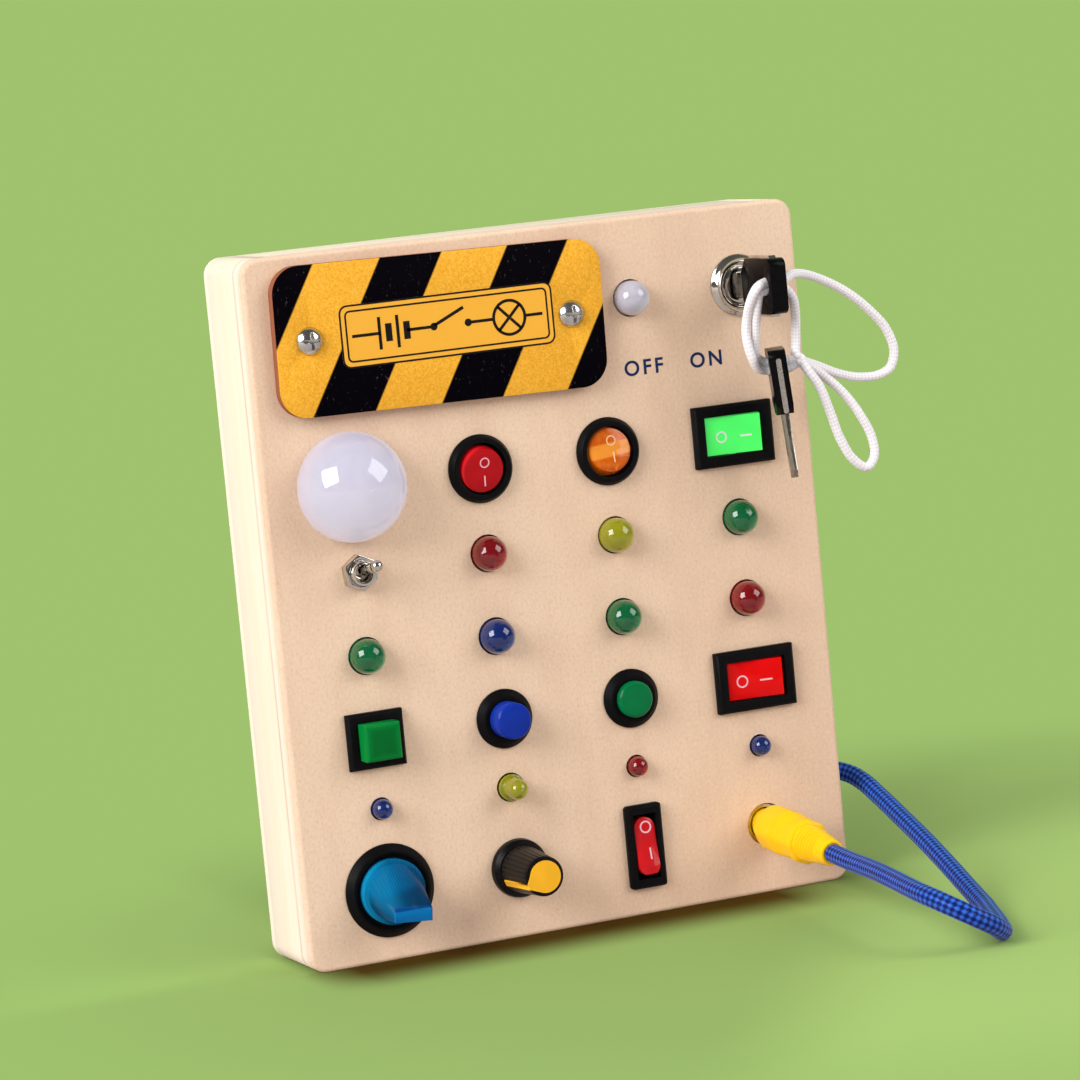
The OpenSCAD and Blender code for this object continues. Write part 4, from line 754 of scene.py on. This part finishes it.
KEY_LOOPS = [
    [
        (64.6, -29.9, 137.3), (62.6, -29.3, 137.2), (60, -28.2, 137.2), (57.2, -27.1, 137.2),
        (55, -27.4, 138.6), (54.2, -28.4, 141.4), (54, -30, 145.4), (53.8, -31.4, 149),
        (53.9, -32.6, 152.2), (54.6, -33.1, 154.9), (58, -33.2, 155.5), (61.4, -33.4, 155.4),
        (63.4, -33.2, 153.2), (64.6, -31.8, 149.8), (65.4, -29.8, 145.7), (65.3, -29.2, 141.6),
        (64.8, -29.8, 138.4),
    ],
    [
        (64.6, -30, 136.2), (62.6, -29.3, 135.2), (60, -28.2, 135.1), (57.4, -27.2, 135.1),
        (54.8, -28, 135.9), (52.7, -29.5, 138.6), (51.6, -29.8, 142.2), (51.4, -29.8, 145.6),
        (51.6, -30.8, 149.4), (51.8, -33, 153.2), (53, -34.6, 156.4), (55.4, -33.9, 157.5),
        (58, -33.2, 157.7), (61.4, -33.1, 157.7), (65, -30.6, 158.6), (70.4, -27.8, 158),
        (77.9, -26.2, 154.9), (83.7, -26, 151.2), (89.2, -26, 146.2), (92.9, -26, 141.5),
        (94.6, -26, 135.9), (93.1, -26, 131.7), (89.4, -26, 130.1), (83.4, -26, 130.3),
        (77.5, -26.6, 132), (71.3, -28, 134.7), (66.2, -29.8, 136.6),
    ],
    [
        (65.9, -30, 136.4), (68.8, -29.4, 134.7), (72.2, -29, 132.2), (76.8, -30, 127.4),
        (80.6, -30.8, 121.6), (83.6, -31, 114.8), (83.7, -31, 110), (81.4, -31, 107.7),
        (77.6, -31.2, 110.2), (74.2, -31.6, 116), (71.8, -32, 123.1), (69.2, -32.6, 129.8),
        (66.6, -32.4, 134), (65.6, -31, 136.3),
    ],
]
LEAD_R = 2.5 * MM
CORD_R = 1.2 * MM
KNOT = Vector((65.2, -30.2, 137)) * MM
SPARE_HOLE = Vector((60, -28.2, 136.2)) * MM    # where the cord holds the spare key
KEY_HEAD = Vector((58, -20.9, 156.5)) * MM      # the foot of the key's head, on the lock's axis


def make_plug():
    """The plug's grip, ring, ribs and tapered tail. Returns the piece."""
    out = Vector((0, -math.cos(PLUG_DROOP), -math.sin(PLUG_DROOP)))
    up = Vector((0, -math.sin(PLUG_DROOP), math.cos(PLUG_DROOP)))
    base = panel(COL[3], KNOB_ROW)

    def place(p):
        return base + (Vector((1, 0, 0)) * p[0] + up * p[1] + out * p[2]) * MM

    def cone(h):
        """The tail's radius at a height."""
        return 4.75 - (h - 24.5) / 12 * 1.45

    profile = [(0.01, -2.2), (3.5, -2.2), (3.78, -1.9), (3.82, 0.2), (4.3, 1.0), (4.9, 1.9), (5.4, 2.9),
               (5.75, 4.0), (6.0, 5.2), (6.08, 6.2), (6.08, 12.0)]
    # Ribs round the grip, then its ring, then ribs down the tail.
    h = 12.6
    while h < 17.0:
        r = 6.08 - (h - 12) * 0.05
        profile += [(r, h), (r - 0.24, h + 0.2), (r - 0.24, h + 0.5), (r - 0.02, h + 0.72)]
        h += 1.05
    profile += [(5.7, 18.4), (5.5, 20.6), (5.55, 20.9), (5.78, 21.3), (5.78, 23.2), (5.6, 23.6),
                (4.95, 23.9), (4.8, 24.2)]
    h = 24.7
    while h < 33.0:
        r = cone(h)
        profile += [(r, h), (r - 0.34, h + 0.2), (r - 0.36, h + 0.6), (r - 0.05, h + 0.8)]
        h += 1.2
    profile += [(cone(34.2), 34.2), (3.35, 35.6), (3.3, 36.0), (3.05, 36.4), (2.62, 36.48), (2.56, 36.2),
                (0.01, 36.2)]
    verts, faces = lathe(profile, 64)
    shaped = []
    for v in verts:
        a = math.atan2(v.y, v.x)
        r = math.hypot(v.x, v.y)
        if 1.5 < v.z < 24 and r > 4:
            # Flats round the grip.
            flat = abs(((a / math.radians(45)) % 1) - 0.5) * 2
            r *= 0.955 + 0.045 * flat ** 1.5
        if 24.4 < v.z < 33.6 and r > 3 and abs(math.sin(a + 0.5)) > 0.93:
            r = cone(v.z)
        shaped.append(place((r * math.cos(a), r * math.sin(a), v.z)))
    ob = piece("plug_body", shaped, faces, "plug", "plug", 28, "yellow_plastic")
    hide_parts("plug")
    return ob


def length_of(path):
    return round(sum((b - a).length for a, b in zip(path, path[1:])), 4)


def route_of(path):
    return [tuple(p) for p in path[::4]] + [tuple(path[-1])]


def make_lead(plug_piece):
    """The braided lead from the grommet to the plug's tail."""
    path = smooth_path([Vector(p) * MM for p in LEAD_ROUTE], 0.4 * MM)
    verts, faces, uv = tube(path, LEAD_R - 0.02 * MM, 36, braid_relief(LEAD_STRANDS, LEAD_PITCH, 0.2 * MM))
    ob = piece("blue_lead_braid", verts, faces, "lead", "board", 80, "cord_blue", uv)
    ob.parent = None
    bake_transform(ob)
    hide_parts("blue_lead")
    length_of(path)
    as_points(route_of(path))


def make_key_cord():
    """The white cord: its three loops in one run, and the knot that holds them."""
    route = [*KEY_LOOPS[0], (65.4, -30.3, 137.2), *KEY_LOOPS[1], (65.2, -30.4, 136.8), *KEY_LOOPS[2]]
    path = smooth_path([Vector(p) * MM for p in route], 0.22 * MM)
    verts, faces, uv = tube(path, CORD_R, 20, braid_relief(CORD_STRANDS, CORD_PITCH, 0.06 * MM))
    ob = piece("key_cord_braid", verts, faces, "cord", "spare_key", 80, "cord_white", uv)
    turns = []
    for i in range(121):
        a = math.tau * i / 120
        x = (math.sin(a) + 2 * math.sin(2 * a)) * 0.42
        y = (math.cos(a) - 2 * math.cos(2 * a)) * 0.42
        z = -math.sin(3 * a) * 0.55
        turns.append(KNOT + Vector((x * 0.8, z, y * 0.95)) * MM)
    kv, kf, kuv = tube(turns, 0.85 * MM, 16, braid_relief(CORD_STRANDS, CORD_PITCH, 0.05 * MM))
    knot = piece("key_cord_knot", kv, kf, "cord", "spare_key", 80, "cord_white", kuv)
    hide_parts("key_cord")
    length_of(path)
    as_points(route_of(path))


make_lead(make_plug())
make_key_cord()


def make_key_steel():
    """The steel that shows in the keys' heads: a worn strip on the spare, a thin rim on the other."""
    turn = Matrix.Rotation(math.radians(-23), 4, "Z") @ Matrix.Rotation(math.radians(-4), 4, "Y")
    hang = Matrix.Translation(SPARE_HOLE) @ turn @ Matrix.Translation((0, 0, -12.3 * MM))

    def spare(p):
        return hang @ (Vector((p[0], -7.0 - p[2], p[1])) * MM)

    strip = [prism(rounded(1.3, 14.0, 0.6, 5, 0.15, 7.4), -0.2, 0.08, spare)]
    for k in range(26):
        z = 1.4 + k * 0.46
        lean = 0.16 * math.sin(k * 2.1)
        ridge = [(-0.4 + lean, z), (0.5 + lean, z + 0.06), (0.46 + lean, z + 0.26),
                 (-0.42 + lean, z + 0.22)]
        strip.append(prism(ridge, 0.0, 0.2 + 0.1 * math.sin(k * 1.7), spare))
    piece("spare_key_strip", *merge(*strip), "worn", "spare_key", 20)

    def main(p):
        return KEY_HEAD + Vector((p[0], -p[2], p[1])) * MM

    section = ((6.9, 2.6), (7.7, 3.2), (7.7, 13.6), (6.9, 14.2))
    box = [(0, 1, 2, 3), (7, 6, 5, 4), (1, 0, 4, 5), (2, 1, 5, 6), (3, 2, 6, 7), (0, 3, 7, 4)]
    rim = [([main((x, side * y, z)) for x in (-0.95, 0.95) for y, z in section], box) for side in (1, -1)]
    piece("key_plate_rim", *merge(*rim), "chrome", "key", 20)


make_key_steel()


# ---- CAD nodes ----

# Nodes by material, and by the width of the rounding on their edges in mm.
DRESS = {
    "front": "front_panel", "rail_z": "left_rail right_rail", "rail_x": "top_rail bottom_rail",
    "back": "back_panel", "screw": "wood_screws plate_screws", "cell": "batteries", "brass": "terminals",
    "steel": "battery_contacts hex_nuts dial_body dial_shaft plug_pin", "wire": "wiring",
    "chrome": "lock_body lock_core toggle_body toggle_nut toggle_lever", "rubber": "lead_grommet",
    "black": "battery_box battery_door red_round_housing amber_round_housing green_rocker_housing "
             "red_rocker_housing mini_rocker_housing square_button_housing blue_button_housing "
             "green_button_housing selector_housing jack_socket",
    "blade": "key_blade spare_key_blade", "black_gloss": "key_bow spare_key_bow", "stripe": "hazard_plate",
    "dome": "dome_lens", "white": "dome_base", "lamp_white": "indicator_lamp", "lamp_red": "red_lamps",
    "lamp_yellow": "yellow_lamps", "lamp_green": "green_lamps", "lamp_blue": "blue_lamps",
    "red": "red_round_rocker", "amber": "amber_round_rocker", "green_lit": "green_rocker",
    "red_lit": "red_rocker", "red_mini": "mini_rocker", "green_square": "square_button_cap",
    "blue": "blue_button_cap", "green": "green_button_cap", "selector": "selector_knob",
    "dial": "dial_knob", "yellow": "dial_pointer",
}
BEVEL = {
    0.35: "mini_rocker selector_knob",
    0.3: "back_panel red_round_rocker amber_round_rocker green_rocker red_rocker blue_button_cap "
         "green_button_cap key_bow spare_key_bow",
    0.2: "left_rail right_rail top_rail bottom_rail", 0.15: "hazard_plate",
    0: "front_panel dome_lens",
}
OTHER_BEVEL = 0.12


def dress():
    """Gives every node that isn't replaced its material and a small round on its edges."""
    widths = {name: width for width, names in BEVEL.items() for name in names.split()}
    for key, names in DRESS.items():
        for name in names.split():
            ob = nodes[name]
            ob.data.materials.clear()
            ob.data.materials.append(mats[key])
            width = widths.get(name, OTHER_BEVEL)
            if not width:
                continue
            weld = ob.modifiers.new("weld", "WELD")
            weld.merge_threshold = 2e-6
            ob.data.polygons.foreach_set("use_smooth", [True] * len(ob.data.polygons))
            bevel = ob.modifiers.new("edges", "BEVEL")
            bevel.width = width * MM
            bevel.segments = 2
            bevel.limit_method = "ANGLE"
            bevel.angle_limit = math.radians(32)
            bevel.harden_normals = True


dress()


# ---- Printed marks ----

# Each rocker, its body and its marks' ink; then in mm its ring as (x, z, size, line) and its bar as
# (x, z, length, line, turn).
ROCKER_MARKS = (
    ("red_round_rocker", "round_rocker_red", "ink_pink",
     (-16.9, 120.4, 2.6, 0.31), (-17.0, 115.8, 2.6, 0.34, 90)),
    ("amber_round_rocker", "round_rocker_amber", "ink_peach",
     (18.1, 121.6, 2.6, 0.31), (18.4, 117.4, 2.6, 0.34, 90)),
    ("green_rocker", "wide_rocker_green", "ink_white",
     (48.9, 118.6, 3.0, 0.4), (55.4, 118.4, 2.9, 0.45, 0)),
    ("red_rocker", "wide_rocker_red", "ink_pink",
     (48.6, 55.6, 3.2, 0.38), (55.0, 55.4, 3.2, 0.4, 0)),
    ("mini_rocker", "small_rocker", "ink_pink",
     (17.8, 22.7, 3.2, 0.42), (18.3, 15.9, 2.9, 0.4, 90)),
)


def laid_on(node):
    """A place function that lays panel points (in mm) on a node's front."""
    ob = nodes[node]
    tree = BVHTree.FromPolygons([ob.matrix_world @ v.co for v in ob.data.vertices],
                                [tuple(p.vertices) for p in ob.data.polygons])

    def place(p):
        hit, normal, _, _ = tree.ray_cast(Vector((p[0] * MM, -0.08, p[1] * MM)), Vector((0, 1, 0)))
        return hit + normal * p[2] * MM
    return place


def marks():
    """Printed words, the rockers' marks, the dial's face, and the symbols on the striped plate."""
    def flat(place, name, outline, holes, mat, body, low, high):
        piece(name, *prism(outline, low, high, place, holes), mat, body, 0)

    def on_panel(x, z, lift):
        return lambda p: panel(x, z, (p[0], p[1], lift + p[2]))

    # OFF and ON below the lock.
    for word, x in (("OFF", 24.2), ("ON", 42.6)):
        curve = bpy.data.curves.new("word_" + word, "FONT")
        curve.body = word
        curve.size = 5.3 * MM
        curve.space_character = 1.3
        curve.extrude = 0.03 * MM
        curve.offset = 0.1 * MM
        ob = bpy.data.objects.new("word_" + word, curve)
        scene.collection.objects.link(ob)
        ob.rotation_euler = (math.pi / 2, 0, 0)
        ob.location = panel(x, 137.0, (0, 0, 0.02))
        bpy.context.view_layer.update()
        me = bpy.data.meshes.new_from_object(ob.evaluated_get(bpy.context.evaluated_depsgraph_get()))
        me.transform(ob.matrix_world)
        bpy.data.objects.remove(ob)
        done = bpy.data.objects.new("word_" + word, me)
        scene.collection.objects.link(done)
        me.materials.clear()
        me.materials.append(mats["ink_navy"])
        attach(done, "board")

    # Marks on the rockers, laid on their faces.
    for node, body, ink, (rx, rz, size, rim), (bx, bz, length, line, turn) in ROCKER_MARKS:
        place = laid_on(node)
        a, b = math.cos(math.radians(turn)) * length / 2, math.sin(math.radians(turn)) * length / 2
        stick = bar((bx + a, bz + b), (bx - a, bz - b), line)
        piece(node + "_marks", *merge(
            prism(circle(size / 2, 36, rx, rz), -0.02, 0.04, place, [circle(size / 2 - rim, 36, rx, rz)]),
            prism(stick, -0.02, 0.04, place)), ink, body, 0)

    # The steel rim of the socket in the plug's hole.
    flat(on_panel(COL[3], KNOB_ROW, 0), "jack_rim", circle(5.1), [circle(4.35)], "steel", "board",
         -2.4, -0.5)

    # The dial's face runs out to a point over the pointer.
    c, k = math.cos(DIAL_TURN), math.sin(DIAL_TURN)
    tip = [(5.1 * c - half * k, 5.1 * k + half * c) for half in (0.72, -0.72)]
    face = [p for p in circle(4.05, 48) if p[0] * c + p[1] * k < 4.05 * 0.62]
    face.sort(key=lambda p: (math.atan2(p[1], p[0]) - DIAL_TURN) % math.tau)
    flat(on_panel(COL[1], KNOB_ROW, 17.1), "dial_face", [tip[0], *face, tip[1]], [], "yellow", "dial",
         -0.3, 0.08)

    # The plate's row of circuit symbols: a cell, a switch and a lamp in one frame.
    at = on_panel(-23.5, 155.6, 3.0)
    flat(at, "motif_ground", rounded(57, 15.6, 2.2), [], "ink_yellow", "board", 0.0, 0.03)
    lines = []
    for w, h, r in ((57, 15.6, 2.2), (54.2, 12.8, 1.4)):
        lines.append(prism(rounded(w, h, r), 0.02, 0.06, at, [rounded(w - 0.9, h - 0.9, r - 0.45)]))

    def stroke(a, b, width=0.75):
        lines.append(prism(bar(a, b, width), 0.02, 0.07, at))

    stroke((-25.5, 0), (-18.2, 0))
    stroke((-18.2, -4), (-18.2, 4), 0.8)
    stroke((-15.8, -2.2), (-15.8, 2.2), 1.7)
    stroke((-13.4, -4), (-13.4, 4), 0.8)
    stroke((-11.0, -2.2), (-11.0, 2.2), 1.7)
    stroke((-11.0, 0), (-4.6, 0))
    for x in (-3.8, 5.4):
        lines.append(prism(circle(0.95, 20, x, 0), 0.02, 0.07, at))
    stroke((-3.6, 0.3), (4.4, 3.9), 0.8)
    stroke((6.2, 0), (11.9, 0))
    lamp, k = 16.5, 4.2 * math.sqrt(0.5)
    lines.append(prism(circle(4.6, 40, lamp, 0), 0.02, 0.07, at, [circle(3.85, 40, lamp, 0)]))
    stroke((lamp - k, -k), (lamp + k, k))
    stroke((lamp - k, k), (lamp - 0.3, 0.3))
    stroke((lamp + 0.3, -0.3), (lamp + k, -k))
    stroke((21.1, 0), (25.5, 0))
    piece("motif_lines", *merge(*lines), "ink_black", "board", 0)


marks()


# ---- Lights, floor and finish ----

GREEN = rgb(160, 194, 110)
KEY = Vector((-0.831, -0.317, 0.456)).normalized()
FILL = Vector((0.635, -0.613, 0.470)).normalized()
CENTRE = Vector((0, -0.01, 0.09))
LIGHT_AWAY = 2.2
FOOT = (0.073, 0.012)    # half the board's footprint, a little in from its edges


def area(name, direction, size, level, spin):
    """A square soft box. level is what it adds to a white surface that faces it."""
    data = bpy.data.lights.new(name, "AREA")
    data.shape = "SQUARE"
    data.size = size
    data.energy = level * math.pi ** 2 * LIGHT_AWAY ** 2
    ob = bpy.data.objects.new(name, data)
    scene.collection.objects.link(ob)
    ob.location = CENTRE + direction * LIGHT_AWAY
    ob.rotation_mode = "QUATERNION"
    ob.rotation_quaternion = (-direction).to_track_quat("-Z", "Y") @ Quaternion((0, 0, 1), spin)
    ob.visible_camera = False


def make_floor():
    """Green to the eye and in what reflects from behind; otherwise neutral, to cast no green."""
    f = Finish("floor", rough=0.9, spec=0.0)
    paths = f.node("ShaderNodeLightPath").outputs
    where = f.node("ShaderNodeNewGeometry").outputs["Position"]
    x, y, z = f.xyz(where)
    gloss = f.math("MAXIMUM", paths["Is Glossy Ray"], paths["Is Transmission Ray"])
    gloss = f.mul(gloss, f.range(y, -0.02, 0.05))
    seen = f.math("MAXIMUM", paths["Is Camera Ray"], gloss)
    # A painted contact shadow: the ground is painted darker round the board's foot.
    dx = f.math("MAXIMUM", f.sub(f.math("ABSOLUTE", x), FOOT[0]), 0.0)
    dy = f.math("MAXIMUM", f.sub(f.math("ABSOLUTE", y), FOOT[1]), 0.0)
    gap = f.hypot(dx, dy)
    painted_contact_shadow = f.mul(f.math("POWER", f.range(gap, 0.03, 0.0), 2.6), f.range(x, -0.0765, -0.070, 0.0, 0.55))
    # Painted light: the ground is painted lighter to the left of the board, and where its shadow runs out
    # on the right.
    left = f.mul(f.range(x, -0.045, -0.066, smooth=True), f.range(y, -0.008, 0.012, smooth=True))
    green = f.mix(left, rgb(143, 170, 98), rgb(157, 187, 108))
    right = f.sub(x, f.mul(y, 0.7))
    right = f.mul(f.range(right, 0.070, 0.125, smooth=True), f.range(y, 0.14, 0.07, smooth=True))
    green = f.mix(right, green, rgb(161, 191, 111))
    green = f.mix(painted_contact_shadow, green, rgb(60, 56, 24))
    # The warm shade on the ground under the front face.
    under = f.mul(f.range(y, -0.0465, -0.019, 0.0, 0.95, smooth=True), f.range(y, -0.010, -0.0145))
    under = f.mul(under, f.mul(f.range(x, -0.079, -0.064), f.range(x, 0.067, 0.052)))
    green = f.mix(under, green, rgb(70, 44, 8))
    f.color(f.mix(seen, rgb(186, 178, 172), green))
    # Further out it's an even green that takes no shadow.
    away = f.node("ShaderNodeVectorMath", {0: where, 1: (0.07, -0.04, 0)},
                  operation="DISTANCE").outputs["Value"]
    far = f.mul(f.range(away, 0.13, 0.27, smooth=True), seen)
    glow = f.node("ShaderNodeEmission", {"Color": GREEN, "Strength": 1.0})
    mixer = f.node("ShaderNodeMixShader", {0: far, 1: f.shader.outputs[0], 2: glow.outputs[0]})
    f.tree.links.new(mixer.outputs[0], f.tree.nodes["Material Output"].inputs["Surface"])
    mats["floor"] = f.mat
    ob = piece("floor", [(-30, -30, 0), (30, -30, 0), (30, 30, 0), (-30, 30, 0)], [(0, 1, 2, 3)],
               "floor", None, 0)


def make_world():
    """Soft white light from all round; green to the eye and in what reflects from behind."""
    world = bpy.data.worlds.new("studio")
    scene.world = world
    world.use_nodes = True
    w = Nodes(world.node_tree)
    paths = w.node("ShaderNodeLightPath").outputs
    x, y, z = w.xyz(w.node("ShaderNodeTexCoord").outputs["Generated"])
    gloss = w.math("MAXIMUM", paths["Is Glossy Ray"], paths["Is Transmission Ray"])
    seen = w.math("MAXIMUM", paths["Is Camera Ray"], w.mul(gloss, w.range(y, -0.1, 0.25)))
    # The studio is dimmer in what reflects, where the two soft boxes should stand out.
    studio = w.tree.nodes["Background"]
    studio.inputs["Color"].default_value = (0.97, 0.985, 1, 1)
    w.tree.links.new(w.sub(0.53, w.mul(gloss, 0.42)), studio.inputs["Strength"])
    shown = w.node("ShaderNodeBackground", {"Color": GREEN})
    mixer = w.node("ShaderNodeMixShader", {0: seen, 1: studio.outputs[0], 2: shown.outputs[0]})
    w.tree.links.new(mixer.outputs[0], w.tree.nodes["World Output"].inputs["Surface"])


area("key", KEY, 1.3, 1.02, 0.45)
area("fill", FILL, 1.35, 0.46, 0.5)
make_floor()
make_world()
scene.view_settings.view_transform = "Standard"
